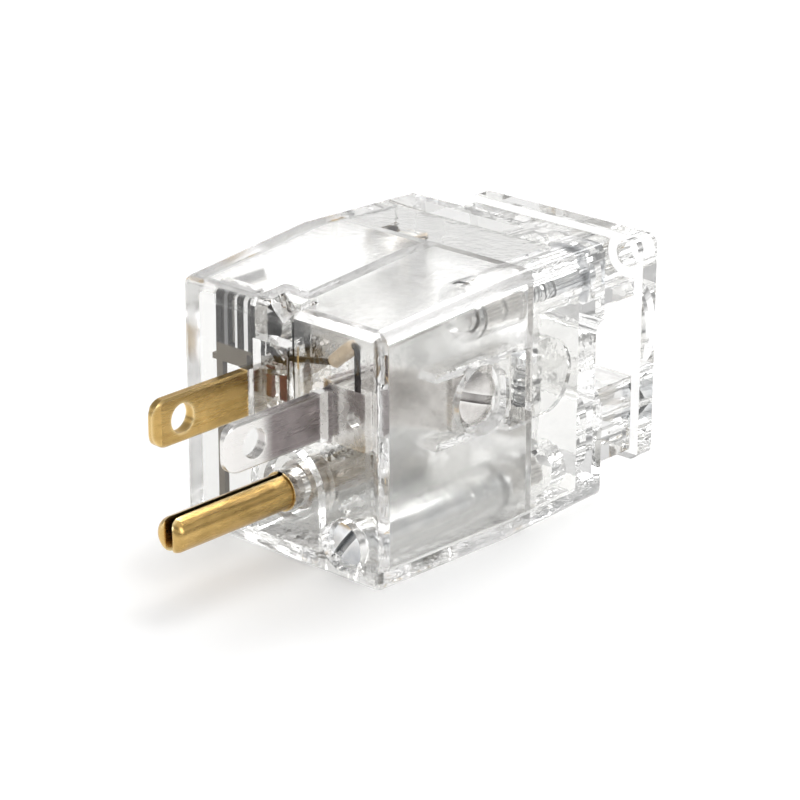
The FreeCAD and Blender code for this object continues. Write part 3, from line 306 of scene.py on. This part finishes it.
# the value at the crest less what it falls by towards the face and the rear
def crestFall(tree, y, crest, faceFall, rearFall):
    crestY = housing["crestY"]
    ahead = calc(tree, "DIVIDE", calc(tree, "SUBTRACT", crestY, y), crestY)
    behind = calc(tree, "DIVIDE", calc(tree, "SUBTRACT", y, crestY), housing["bodyLength"] - crestY)
    front = calc(tree, "MULTIPLY", calc(tree, "MAXIMUM", ahead, 0.0), faceFall)
    rear = calc(tree, "MULTIPLY", calc(tree, "MAXIMUM", behind, 0.0), rearFall)
    return calc(tree, "SUBTRACT", crest, calc(tree, "ADD", front, rear))


# depths below the outer side and top, and the place along the plug
def depths(tree):
    x, y, z = (placeOn(tree, axis) for axis in ("X", "Y", "Z"))
    halfWidth = crestFall(tree, y, housing["crestHalfWidth"], housing["faceTaper"], housing["rearTaper"])
    top = crestFall(tree, y, housing["crestTop"], housing["faceFall"], housing["rearFall"])
    sideDepth = calc(tree, "SUBTRACT", halfWidth, calc(tree, "ABSOLUTE", x))
    return sideDepth, calc(tree, "SUBTRACT", top, z), y


# 1 on the textured inner faces of the front moulding's side walls and ceiling
def frostMask(tree, sideDepth, topDepth, y):
    side = within(tree, sideDepth, housing["sideWall"], housing["frostReach"])
    ceiling = within(tree, topDepth, housing["topWall"], housing["frostReach"])
    inFront = calc(tree, "LESS_THAN", y, housing["jointY"])
    return calc(tree, "MULTIPLY", calc(tree, "MAXIMUM", side, ceiling), inFront)


# 1 on the outside of the front moulding's sides and top
def outsideMask(tree, sideDepth, topDepth, y):
    outside = calc(tree, "LESS_THAN", calc(tree, "MINIMUM", sideDepth, topDepth), housing["outside"])
    return calc(tree, "MULTIPLY", outside, calc(tree, "LESS_THAN", y, housing["jointY"]))


# 1 on everything below the skin of the mouldings, which is less smooth than the outside
def innerMask(tree, sideDepth, topDepth, y):
    nearest = calc(tree, "MINIMUM", calc(tree, "MINIMUM", sideDepth, topDepth), y)
    inside = calc(tree, "GREATER_THAN", nearest, housing["skin"])
    beforeRear = calc(tree, "LESS_THAN", y, housing["bodyLength"] - housing["skin"])
    return calc(tree, "MULTIPLY", inside, beforeRear)


clearLooks = {
    "clear_plastic": {
        "name": "clearPlastic", "tint": (0.912, 0.911, 0.903), "ior": 1.49, "roughness": 0.012,
        "ripple": 0.05, "shadowTint": (0.85, 0.85, 0.845), "moulded": True},
    "lamp_glass": {
        "name": "lampGlass", "tint": (0.96, 0.96, 0.955), "ior": 1.45, "roughness": 0.01,
        "ripple": 0.03, "shadowTint": (0.95, 0.95, 0.95), "moulded": False},
    "fuse_glass": {
        "name": "fuseTubeGlass", "tint": (0.96, 0.97, 0.965), "ior": 1.47, "roughness": 0.008,
        "ripple": 0.02, "shadowTint": (0.95, 0.96, 0.955), "moulded": False},
}
clearWaves = {"flowScale": 260.0, "polishScale": 900.0, "paler": 0.02, "rippleDepth": 0.2}


# clear stuff with a slow flow in its faces; the mouldings are frosted and rippled inside too
def clearFinish(look):
    material, tree, shader = startFinish(look["name"])
    shader.inputs["Transmission Weight"].default_value = 1.0
    shader.inputs["IOR"].default_value = look["ior"]
    height = flow = noise(tree, clearWaves["flowScale"], 2.0)
    pale = tuple(min(1.0, part + clearWaves["paler"]) for part in look["tint"])
    colour = ramp(tree, flow, [(0.35, look["tint"]), (0.65, pale)])
    smoothest, roughest = 0.5 * look["roughness"], 1.5 * look["roughness"]
    polish = spread(tree, noise(tree, clearWaves["polishScale"]), smoothest, roughest)
    if look["moulded"]:
        place = depths(tree)
        frost = frostMask(tree, *place)
        polish = calc(tree, "ADD", polish, calc(tree, "MULTIPLY", frost, housing["frost"]))
        colour = blend(tree, frost, colour, housing["frostTint"])
        colour = blend(tree, outsideMask(tree, *place), colour, housing["outsideTint"])
        rough = calc(tree, "MULTIPLY", noise(tree, housing["rippleScale"], 1.0), housing["innerRipple"])
        height = calc(tree, "ADD", flow, calc(tree, "MULTIPLY", rough, innerMask(tree, *place)))
    tree.links.new(colour, shader.inputs["Base Color"])
    tree.links.new(polish, shader.inputs["Roughness"])
    bump(tree, shader, height, look["ripple"], clearWaves["rippleDepth"] * mm)
    letLampsThrough(tree, shader, look["shadowTint"])
    return material


# each metal's darkest colour is painted shade for its slots and recesses, and its lightest goes on its
# edges as scuffing and painted highlight
metals = {
    "brass": {
        "name": "stampedBrass", "base": (0.62, 0.41, 0.15), "shade": (0.48, 0.31, 0.10),
        "edge": (0.93, 0.74, 0.40), "crevice": (0.10, 0.05, 0.02),
        "polish": (0.20, 0.33), "grain": 900.0, "stretch": (1, 0.06, 1), "metallic": 1.0},
    "nickel_plate": {
        "name": "satinNickel", "base": (0.66, 0.64, 0.62), "shade": (0.48, 0.46, 0.44),
        "edge": (0.84, 0.83, 0.81), "crevice": (0.08, 0.07, 0.07),
        "polish": (0.18, 0.34), "grain": 900.0, "stretch": (1, 0.06, 1), "metallic": 1.0},
    "dark_bronze": {
        "name": "darkSpringBronze", "base": (0.020, 0.014, 0.010), "shade": (0.008, 0.006, 0.005),
        "edge": (0.42, 0.35, 0.27), "crevice": (0.006, 0.005, 0.004),
        "polish": (0.28, 0.48), "grain": 700.0, "stretch": (1, 1, 0.1), "metallic": 1.0},
    "zinc_steel": {
        "name": "brightZinc", "base": (0.84, 0.85, 0.86), "shade": (0.62, 0.64, 0.67),
        "edge": (0.93, 0.94, 0.95), "crevice": (0.05, 0.055, 0.06),
        "polish": (0.12, 0.26), "grain": 1200.0, "stretch": (1, 1, 1), "metallic": 1.0},
    "lead_wire": {
        "name": "tinnedWire", "base": (0.76, 0.75, 0.73), "shade": (0.58, 0.57, 0.55),
        "edge": (0.85, 0.84, 0.82), "crevice": (0.2, 0.2, 0.19),
        "polish": (0.2, 0.35), "grain": 1500.0, "stretch": (1, 1, 1), "metallic": 1.0},
    "fuse_cap": {
        "name": "fuseCapPlate", "base": (0.86, 0.84, 0.80), "shade": (0.74, 0.71, 0.66),
        "edge": (0.90, 0.88, 0.84), "crevice": (0.5, 0.48, 0.45),
        "polish": (0.32, 0.46), "grain": 1000.0, "stretch": (1, 0.1, 1), "metallic": 0.45},
}


def variant(slot, name, **changes):
    return {**metals[slot], "name": name, **changes}


# looks of single solids: a tail is tinned, and a blade is brightened by a painted highlight, each from one
# place to another
tin = (0.60, 0.58, 0.56)
ownLooks = [
    (variant("brass", "tailedBrass", tail=tin, tinned=("Y", 0.2, 0.4)),
     ("ground_pin", "hot_blade", "hot_terminal", "hot_rivet", "clip_rivet", "ground_rivet")),
    (variant("brass", "tippedBrass", tail=tin, tinned=("X", -15.0, -14.8)),
     ("hot_terminal_screw",)),
    # painted highlight: the neutral blade turns bright towards its tip
    (variant("nickel_plate", "bladeNickel", base=(0.31, 0.272, 0.272), shade=(0.22, 0.195, 0.195),
             worn=(0.80, 0.78, 0.76), rubbed=("Y", -8.2, -10.4)),
     ("neutral_blade",)),
    # painted light: the comb gets bright strips above its foot
    (variant("dark_bronze", "combBronze", base=(0.010, 0.008, 0.007), edge=(0.03, 0.025, 0.02),
             foot=(0.15, 0.125, 0.09), landLow=16.9, landFade=(0.05, 0.08),
             lands=((-11.15, -10.45, 0.22), (-9.25, -8.72, 0.95), (-7.60, -6.80, 0.95))),
     ("front_fuse_clip",)),
    (variant("dark_bronze", "blackLead", base=(0.012, 0.010, 0.010), edge=(0.02, 0.017, 0.016)),
     ("hot_lamp_lead", "neutral_lamp_lead")),
    (variant("fuse_cap", "capEndPlate", base=(0.95, 0.93, 0.89), shade=(0.86, 0.84, 0.79), metallic=0.0),
     ("fuse_front_cap",)),
]

# what all metals share: cloud, grain, painted highlight at edges and painted shade in slots; reaches in
# millimetres, stops as shares of open sky round a point
wear = {
    "cloudScale": 420.0, "cloudDetail": 5.0, "cloudRoughness": 0.6,
    "cornerReach": 0.5, "cornerStops": [(0.50, 0.9), (0.96, 0.0)],
    "slotReach": 1.6, "slotStops": [(0.30, 0.9), (0.85, 0.0)],
    "samples": 8,
    "streakDetail": 6.0, "streakRoughness": 0.65, "grainStrength": 0.12, "grainDepth": 0.04,
}


# how near an own edge is: 1 in the open, less in a recess, or less inside a corner
def nearEdge(tree, reach, inside):
    made = addNode(tree, "ShaderNodeAmbientOcclusion", {"Distance": reach * mm},
                   samples=wear["samples"], only_local=True)
    made.inside = inside
    return made.outputs["AO"]


# painted light on the comb: bright strips, each from one x to another, above its paler foot
def combLands(tree, colour, look):
    rise, fade = look["landFade"]
    above = alongShare(tree, "Z", look["landLow"], look["landLow"] + rise)
    colour = blend(tree, above, look["foot"], colour)
    for left, right, tone in look["lands"]:
        started = alongShare(tree, "X", left, left + fade)
        ended = alongShare(tree, "X", right, right - fade)
        share = calc(tree, "MULTIPLY", calc(tree, "MULTIPLY", started, ended), above)
        colour = blend(tree, share, colour, grey(tone))
    return colour


# a cloudy plate with drawn grain, lighter at its edges from scuffing and a painted highlight, and darker in
# its slots and recesses with painted shade
def metalFinish(look):
    material, tree, shader = startFinish(look["name"])
    shader.inputs["Metallic"].default_value = look["metallic"]
    cloud = noise(tree, wear["cloudScale"], wear["cloudDetail"], wear["cloudRoughness"])
    colour = ramp(tree, cloud, [(0.30, look["shade"]), (0.62, look["base"])])
    # painted highlight along one axis
    if "worn" in look:
        colour = blend(tree, alongShare(tree, *look["rubbed"]), colour, look["worn"])
    # edges lightened, partly by scuffing and partly by a painted highlight
    corner = greyRamp(tree, nearEdge(tree, wear["cornerReach"], True), wear["cornerStops"])
    colour = blend(tree, corner, colour, look["edge"])
    if "tail" in look:
        colour = blend(tree, alongShare(tree, *look["tinned"]), colour, look["tail"])
    # painted light: bright strips on the comb
    if "lands" in look:
        colour = combLands(tree, colour, look)
    # painted shade: slots and recesses darkened by how little open sky they see
    slot = greyRamp(tree, nearEdge(tree, wear["slotReach"], False), wear["slotStops"])
    colour = blend(tree, slot, colour, look["crevice"])
    tree.links.new(colour, shader.inputs["Base Color"])
    streak = noise(tree, look["grain"], wear["streakDetail"], wear["streakRoughness"], look["stretch"])
    tree.links.new(spread(tree, streak, *look["polish"]), shader.inputs["Roughness"])
    bump(tree, shader, streak, wear["grainStrength"], wear["grainDepth"] * mm)
    return material


coats = {
    "electrode_red": {
        "name": "redOxide", "dark": (0.085, 0.004, 0.009), "light": (0.17, 0.014, 0.024),
        "grain": 2500.0, "detail": 4.0, "mottle": 0.6, "polish": (0.45, 0.7), "relief": 0.3, "depth": 0.05},
    "resistor_body": {
        "name": "tanLacquer", "dark": (0.50, 0.39, 0.27), "light": (0.62, 0.51, 0.37),
        "grain": 1200.0, "detail": 3.0, "mottle": 0.5, "polish": (0.3, 0.5), "relief": 0.1, "depth": 0.03},
}


def coatFinish(look):
    material, tree, shader = startFinish(look["name"])
    grain = noise(tree, look["grain"], look["detail"], look["mottle"])
    colour = ramp(tree, grain, [(0.35, look["dark"]), (0.65, look["light"])])
    tree.links.new(colour, shader.inputs["Base Color"])
    tree.links.new(spread(tree, grain, *look["polish"]), shader.inputs["Roughness"])
    bump(tree, shader, grain, look["relief"], look["depth"] * mm)
    return material


finishes = {slot: clearFinish(look) for slot, look in clearLooks.items()}
finishes.update({slot: metalFinish(look) for slot, look in metals.items()})
finishes.update({slot: coatFinish(look) for slot, look in coats.items()})
ownFinish = {}
for look, wearers in ownLooks:
    ownFinish.update(dict.fromkeys(wearers, metalFinish(look)))
slotOf = {part["node"]: part["material_slot"] for part in frame["record"]["subparts"]}


def finishOf(node):
    return ownFinish.get(node, finishes[slotOf[node]])


for nodeName, part in frame["nodes"].items():
    if part.material_slots:
        for materialSlot in part.material_slots:
            materialSlot.material = finishOf(nodeName)
    else:
        part.data.materials.append(finishOf(nodeName))
print("finishes made and laid on the solids")

# The two mouldings are copies of their solids with a few corners moved.
onPlane = 0.01  # how far a corner may lie from a plane that it is on
jointGap = 0.04  # without it the two joint faces coincide and trap the light
lampPocket = {
    "middleX": -2.7, "reach": 2.4, "low": 7.3, "high": 19.6, "front": 1.1, "rear": 6.1,
    "widen": 1.5, "wallX": 0.2, "wallRear": 7.1, "wallHigh": 24.0, "wallShift": 1.25,
}


# the rear moulding stands a hair of air behind the front one
def setOffJoint(x, y, z):
    if abs(y - housing["jointY"]) < onPlane:
        y += jointGap
    return x, y, z


# the lamp's pocket opens to the right, where the neutral electrode is seen
def openLampPocket(x, y, z):
    size = lampPocket
    right = size["middleX"] + size["reach"] + onPlane
    if size["middleX"] < x < right and size["front"] < y < size["rear"] and size["low"] < z < size["high"]:
        x = size["middleX"] + (x - size["middleX"]) * size["widen"]
    elif abs(x - size["wallX"]) < onPlane and size["front"] < y < size["wallRear"]:
        if size["low"] < z < size["wallHigh"]:
            x += size["wallShift"]
    return x, y, z


mouldingMesh = {"weld": 1e-7, "sharpDeg": 25.0}


def addMoulding(node, name, reshape):
    mesh = frame["nodes"][node].data.copy()
    mesh.name = name
    shape = bmesh.new()
    shape.from_mesh(mesh)
    bmesh.ops.remove_doubles(shape, verts=shape.verts, dist=mouldingMesh["weld"])
    for corner in shape.verts:
        corner.co = Vector(reshape(*(corner.co / mm))) * mm
    shape.to_mesh(mesh)
    shape.free()
    if "custom_normal" in mesh.attributes:
        mesh.attributes.remove(mesh.attributes["custom_normal"])
    mesh.shade_smooth()
    mesh.set_sharp_from_angle(angle=math.radians(mouldingMesh["sharpDeg"]))
    piece = bpy.data.objects.new(name, mesh)
    scene.collection.objects.link(piece)
    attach(piece, "root")
    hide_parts(node)


addMoulding("front_housing", "frontMoulding", openLampPocket)
addMoulding("rear_housing", "rearMoulding", setOffJoint)
print("mouldings laid out")


# an empty tree whose inputs are the piece's sizes and its finish
def startTree(name, sizes):
    tree = bpy.data.node_groups.new(name, "GeometryNodeTree")
    for label in sizes:
        tree.interface.new_socket(name=label, in_out="INPUT", socket_type="NodeSocketFloat")
    tree.interface.new_socket(name="finish", in_out="INPUT", socket_type="NodeSocketMaterial")
    tree.interface.new_socket(name="piece", in_out="OUTPUT", socket_type="NodeSocketGeometry")
    return tree, tree.nodes.new("NodeGroupInput").outputs


def endTree(tree, sizes, shapes):
    joined = addNode(tree, "GeometryNodeJoinGeometry")
    for shape in shapes:
        tree.links.new(shape, joined.inputs[0])
    real = addNode(tree, "GeometryNodeRealizeInstances", {0: joined.outputs[0]})
    dressed = addNode(tree, "GeometryNodeSetMaterial", {
        "Geometry": real.outputs[0], "Material": sizes["finish"]})
    end = tree.nodes.new("NodeGroupOutput")
    tree.links.new(dressed.outputs[0], end.inputs[0])


def vector(tree, x=0.0, y=0.0, z=0.0):
    return addNode(tree, "ShaderNodeCombineXYZ", {0: x, 1: y, 2: z}).outputs[0]


def moved(tree, mesh, place, turn=None):
    made = addNode(tree, "GeometryNodeTransform", {"Geometry": mesh, "Translation": place})
    if turn is not None:
        tree.links.new(turn, made.inputs["Rotation"])
    return made.outputs[0]


# the tree's result as a plain mesh at its place, in an object at the origin
def bakeTree(tree, name, sizes, finish, place, sharpDeg):
    carrier = bpy.data.objects.new(name, bpy.data.meshes.new(name))
    scene.collection.objects.link(carrier)
    modifier = carrier.modifiers.new("build", "NODES")
    modifier.node_group = tree
    for item in tree.interface.items_tree:
        if item.in_out == "INPUT":
            modifier[item.identifier] = finish if item.name == "finish" else sizes[item.name]
    bpy.context.view_layer.update()
    evaluated = carrier.evaluated_get(bpy.context.evaluated_depsgraph_get())
    mesh = bpy.data.meshes.new_from_object(evaluated)
    carrier.modifiers.remove(modifier)
    carrier.data = mesh
    mesh.name = name
    mesh.transform(place)
    mesh.shade_smooth()
    mesh.set_sharp_from_angle(angle=math.radians(sharpDeg))
    mesh.update()
    return carrier


screwSizes = (
    "headRadius", "headHeight", "crown", "slotWidth", "slotDepth", "turn",
    "neckRadius", "neckLength", "coreRadius", "threadRadius", "threadLength", "pitch")
screwMesh = {"domeSegments": 96, "domeRings": 160, "rim": 72, "shank": 48, "perTurn": 28, "sharpDeg": 35.0}


# a pan head cut from a sphere, a slot, a plain neck, and a core with a helical ridge
def screwTree():
    tree, size = startTree("slottedScrew", screwSizes)
    square = calc(tree, "MULTIPLY", size["headRadius"], size["headRadius"])
    crownSquare = calc(tree, "MULTIPLY", size["crown"], size["crown"])
    twice = calc(tree, "MULTIPLY", size["crown"], 2.0)
    dome = calc(tree, "DIVIDE", calc(tree, "ADD", square, crownSquare), twice)
    ball = addNode(tree, "GeometryNodeMeshUVSphere", {
        "Segments": screwMesh["domeSegments"], "Rings": screwMesh["domeRings"], "Radius": dome})
    ballPlace = vector(tree, z=calc(tree, "SUBTRACT", size["headHeight"], dome))
    disc = addNode(tree, "GeometryNodeMeshCylinder", {
        "Vertices": screwMesh["rim"], "Radius": size["headRadius"], "Depth": size["headHeight"]})
    discPlace = vector(tree, z=calc(tree, "MULTIPLY", size["headHeight"], 0.5))
    head = addNode(tree, "GeometryNodeMeshBoolean", operation="INTERSECT", solver="EXACT")
    tree.links.new(moved(tree, ball.outputs["Mesh"], ballPlace), head.inputs["Mesh 2"])
    tree.links.new(moved(tree, disc.outputs["Mesh"], discPlace), head.inputs["Mesh 2"])
    slotLength = calc(tree, "MULTIPLY", size["headRadius"], 3.0)
    slotHeight = calc(tree, "MULTIPLY", size["slotDepth"], 2.0)
    cutterSize = vector(tree, slotLength, size["slotWidth"], slotHeight)
    cutter = addNode(tree, "GeometryNodeMeshCube", {"Size": cutterSize})
    cutPlace = vector(tree, z=size["headHeight"])
    slotted = addNode(tree, "GeometryNodeMeshBoolean", {"Mesh 1": head.outputs["Mesh"]},
                      operation="DIFFERENCE", solver="EXACT")
    turned = moved(tree, cutter.outputs["Mesh"], cutPlace, vector(tree, z=size["turn"]))
    tree.links.new(turned, slotted.inputs["Mesh 2"])
    neck = addNode(tree, "GeometryNodeMeshCylinder", {
        "Vertices": screwMesh["shank"], "Radius": size["neckRadius"], "Depth": size["neckLength"]})
    neckPlace = vector(tree, z=calc(tree, "MULTIPLY", size["neckLength"], -0.5))
    core = addNode(tree, "GeometryNodeMeshCylinder", {
        "Vertices": screwMesh["shank"], "Radius": size["coreRadius"], "Depth": size["threadLength"]})
    coreMiddle = calc(tree, "MULTIPLY_ADD", size["threadLength"], -0.5)
    tree.links.new(calc(tree, "MULTIPLY", size["neckLength"], -1.0), coreMiddle.node.inputs[2])
    shapes = [slotted.outputs["Mesh"], moved(tree, neck.outputs["Mesh"], neckPlace)]
    shapes.append(moved(tree, core.outputs["Mesh"], vector(tree, z=coreMiddle)))
    shapes.append(helix(tree, size))
    endTree(tree, size, shapes)
    return tree


# the thread's ridge: a spiral swept by a diamond
def helix(tree, size):
    turns = calc(tree, "DIVIDE", size["threadLength"], size["pitch"])
    depth = calc(tree, "SUBTRACT", size["threadRadius"], size["coreRadius"])
    rise = calc(tree, "SUBTRACT", size["threadLength"], size["pitch"])
    spiral = addNode(tree, "GeometryNodeCurveSpiral", {
        "Resolution": screwMesh["perTurn"], "Rotations": calc(tree, "SUBTRACT", turns, 1.0),
        "Start Radius": size["coreRadius"], "End Radius": size["coreRadius"], "Height": rise})
    diamond = addNode(tree, "GeometryNodeCurvePrimitiveCircle", {"Resolution": 4, "Radius": depth})
    ridge = addNode(tree, "GeometryNodeCurveToMesh", {
        "Curve": spiral.outputs[0], "Profile Curve": diamond.outputs[0], "Fill Caps": True})
    drop = calc(tree, "ADD", size["neckLength"], size["threadLength"])
    low = calc(tree, "SUBTRACT", calc(tree, "MULTIPLY", size["pitch"], 0.5), drop)
    return moved(tree, ridge.outputs[0], vector(tree, z=low))


# a case screw's neck takes what its solid's length leaves
caseScrew = {
    "headRadius": 3.1, "headHeight": 1.9, "crown": 0.53, "slotWidth": 1.2, "slotDepth": 1.1,
    "neckRadius": 1.5, "coreRadius": 1.25, "threadRadius": 1.5, "threadLength": 14.6, "pitch": 0.7,
}
terminalScrew = {
    "headRadius": 3.5, "headHeight": 2.5, "crown": 0.7, "slotWidth": 1.2, "slotDepth": 1.1,
    "neckRadius": 1.65, "neckLength": 0.4, "coreRadius": 1.6, "threadRadius": 1.93,
    "threadLength": 6.0, "pitch": 0.8,
}
saddleScrew = {
    "headRadius": 2.4, "headHeight": 1.6, "crown": 0.45, "slotWidth": 1.2, "slotDepth": 1.1,
    "neckRadius": 1.2, "neckLength": 0.6, "coreRadius": 1.15, "threadRadius": 1.39,
    "threadLength": 8.6, "pitch": 0.6,
}


# where a screw's solid sits, how long it is, and outward is the way its head looks
def screwPlace(node, outward, headHeight):
    low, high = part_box(node)
    middle = (low + high) / 2
    outward = Vector(outward)
    reach = (high - low) / 2
    top = middle + Vector([outward[axis] * reach[axis] for axis in range(3)])
    turned = Vector((0, 0, 1)).rotation_difference(outward)
    if outward.z < -0.5:  # straight down, where any half turn would do
        turned = Matrix.Rotation(math.pi, 3, "Y").to_quaternion()
    length = 2 * abs(reach.dot(outward)) / mm
    return Matrix.Translation(top - outward * headHeight * mm) @ turned.to_matrix().to_4x4(), length


def addScrew(tree, node, piece, outward, sizes, turnDeg):
    place, length = screwPlace(node, outward, sizes["headHeight"])
    full = dict(sizes, turn=math.radians(turnDeg))
    full.setdefault("neckLength", length - sizes["headHeight"] - sizes["threadLength"])
    inMetres = {key: value if key == "turn" else value * mm for key, value in full.items()}
    made = bakeTree(tree, piece, inMetres, finishOf(node), place, screwMesh["sharpDeg"])
    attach(made, "root")
    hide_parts(node)


screws = [
    ("front_case_screw", "caseScrewFront", (0, -1, 0), caseScrew, 52.0),
    ("upper_case_screw", "caseScrewUpper", (0, 1, 0), caseScrew, 15.0),
    ("lower_case_screw", "caseScrewLower", (0, 1, 0), caseScrew, 60.0),
    ("hot_terminal_screw", "bindingScrewHot", (-1, 0, 0), terminalScrew, 70.0),
    ("neutral_terminal_screw", "bindingScrewNeutral", (1, 0, 0), terminalScrew, 70.0),
    ("ground_terminal_screw", "bindingScrewGround", (0, 0, -1), terminalScrew, 20.0),
    ("left_saddle_screw", "clampScrewLeft", (0, 0, 1), saddleScrew, 35.0),
    ("right_saddle_screw", "clampScrewRight", (0, 0, 1), saddleScrew, 35.0),
]
slottedScrew = screwTree()
for node, piece, outward, sizes, turnDeg in screws:
    addScrew(slottedScrew, node, piece, outward, sizes, turnDeg)
print("screws cut and threaded")

insertSizes = ("outerRadius", "innerRadius", "length", "rootShare", "waist", "flange")
insertMesh = {"teeth": 28, "rim": 56, "weld": 1e-6, "sharpDeg": 20.0}


# a bush with two bands of knurling and a plain waist between them
def insertTree():
    tree, size = startTree("knurledInsert", insertSizes)
    bandLength = calc(tree, "MULTIPLY", calc(tree, "SUBTRACT", size["length"], size["waist"]), 0.5)
    star = addNode(tree, "GeometryNodeCurveStar", {
        "Points": insertMesh["teeth"], "Outer Radius": size["outerRadius"],
        "Inner Radius": calc(tree, "MULTIPLY", size["outerRadius"], size["rootShare"])})
    bore = addNode(tree, "GeometryNodeCurvePrimitiveCircle", {
        "Resolution": insertMesh["rim"], "Radius": size["innerRadius"]})
    waistRadius = calc(tree, "MULTIPLY", size["outerRadius"], size["flange"])
    waistRim = addNode(tree, "GeometryNodeCurvePrimitiveCircle", {
        "Resolution": insertMesh["rim"], "Radius": waistRadius})
    band = ringBlock(tree, star.outputs[0], bore.outputs[0], bandLength)
    waist = ringBlock(tree, waistRim.outputs[0], bore.outputs[0], size["waist"])
    farPlace = vector(tree, z=calc(tree, "ADD", bandLength, size["waist"]))
    shapes = [band, moved(tree, waist, vector(tree, z=bandLength)), moved(tree, band, farPlace)]
    endTree(tree, size, shapes)
    return tree


# a closed block between an outline and a bore
def ringBlock(tree, outline, bore, length):
    both = addNode(tree, "GeometryNodeJoinGeometry")
    tree.links.new(outline, both.inputs[0])
    tree.links.new(bore, both.inputs[0])
    face = addNode(tree, "GeometryNodeFillCurve", {"Curve": both.outputs[0]}, mode="NGONS")
    lifted = addNode(tree, "GeometryNodeExtrudeMesh", {
        "Mesh": face.outputs[0], "Offset": vector(tree, z=1.0), "Offset Scale": length,
        "Individual": False})
    flipped = addNode(tree, "GeometryNodeFlipFaces", {"Mesh": face.outputs[0]})
    shell = addNode(tree, "GeometryNodeJoinGeometry")
    tree.links.new(lifted.outputs["Mesh"], shell.inputs[0])
    tree.links.new(flipped.outputs[0], shell.inputs[0])
    merged = addNode(tree, "GeometryNodeMergeByDistance", {
        "Geometry": shell.outputs[0], "Distance": insertMesh["weld"]})
    return merged.outputs[0]


caseInsert = {"innerRadius": 1.55, "rootShare": 0.93, "waist": 1.0, "flange": 0.86}
saddleInsert = {"innerRadius": 1.45, "rootShare": 0.93, "waist": 0.7, "flange": 0.86}


def addInsert(tree, node, piece, along, sizes):
    low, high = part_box(node)
    way = Vector(along)
    reach = high - low
    middle = (low + high) / 2
    length = abs(reach.dot(way))
    across = max(reach[axis] for axis in range(3) if not along[axis])
    inMetres = {"innerRadius": sizes["innerRadius"] * mm, "waist": sizes["waist"] * mm, "length": length,
                "outerRadius": across / 2, "rootShare": sizes["rootShare"], "flange": sizes["flange"]}
    turned = Vector((0, 0, 1)).rotation_difference(way).to_matrix().to_4x4()
    place = Matrix.Translation(middle - way * length / 2) @ turned
    made = bakeTree(tree, piece, inMetres, finishOf(node), place, insertMesh["sharpDeg"])
    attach(made, "root")
    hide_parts(node)


inserts = [
    ("front_screw_insert", "bushFront", (0, 1, 0), caseInsert),
    ("upper_screw_insert", "bushUpper", (0, 1, 0), caseInsert),
    ("lower_screw_insert", "bushLower", (0, 1, 0), caseInsert),
    ("left_saddle_insert", "bushLeft", (0, 0, 1), saddleInsert),
    ("right_saddle_insert", "bushRight", (0, 0, 1), saddleInsert),
]
knurledInsert = insertTree()
for node, piece, along, sizes in inserts:
    addInsert(knurledInsert, node, piece, along, sizes)
print("inserts knurled")
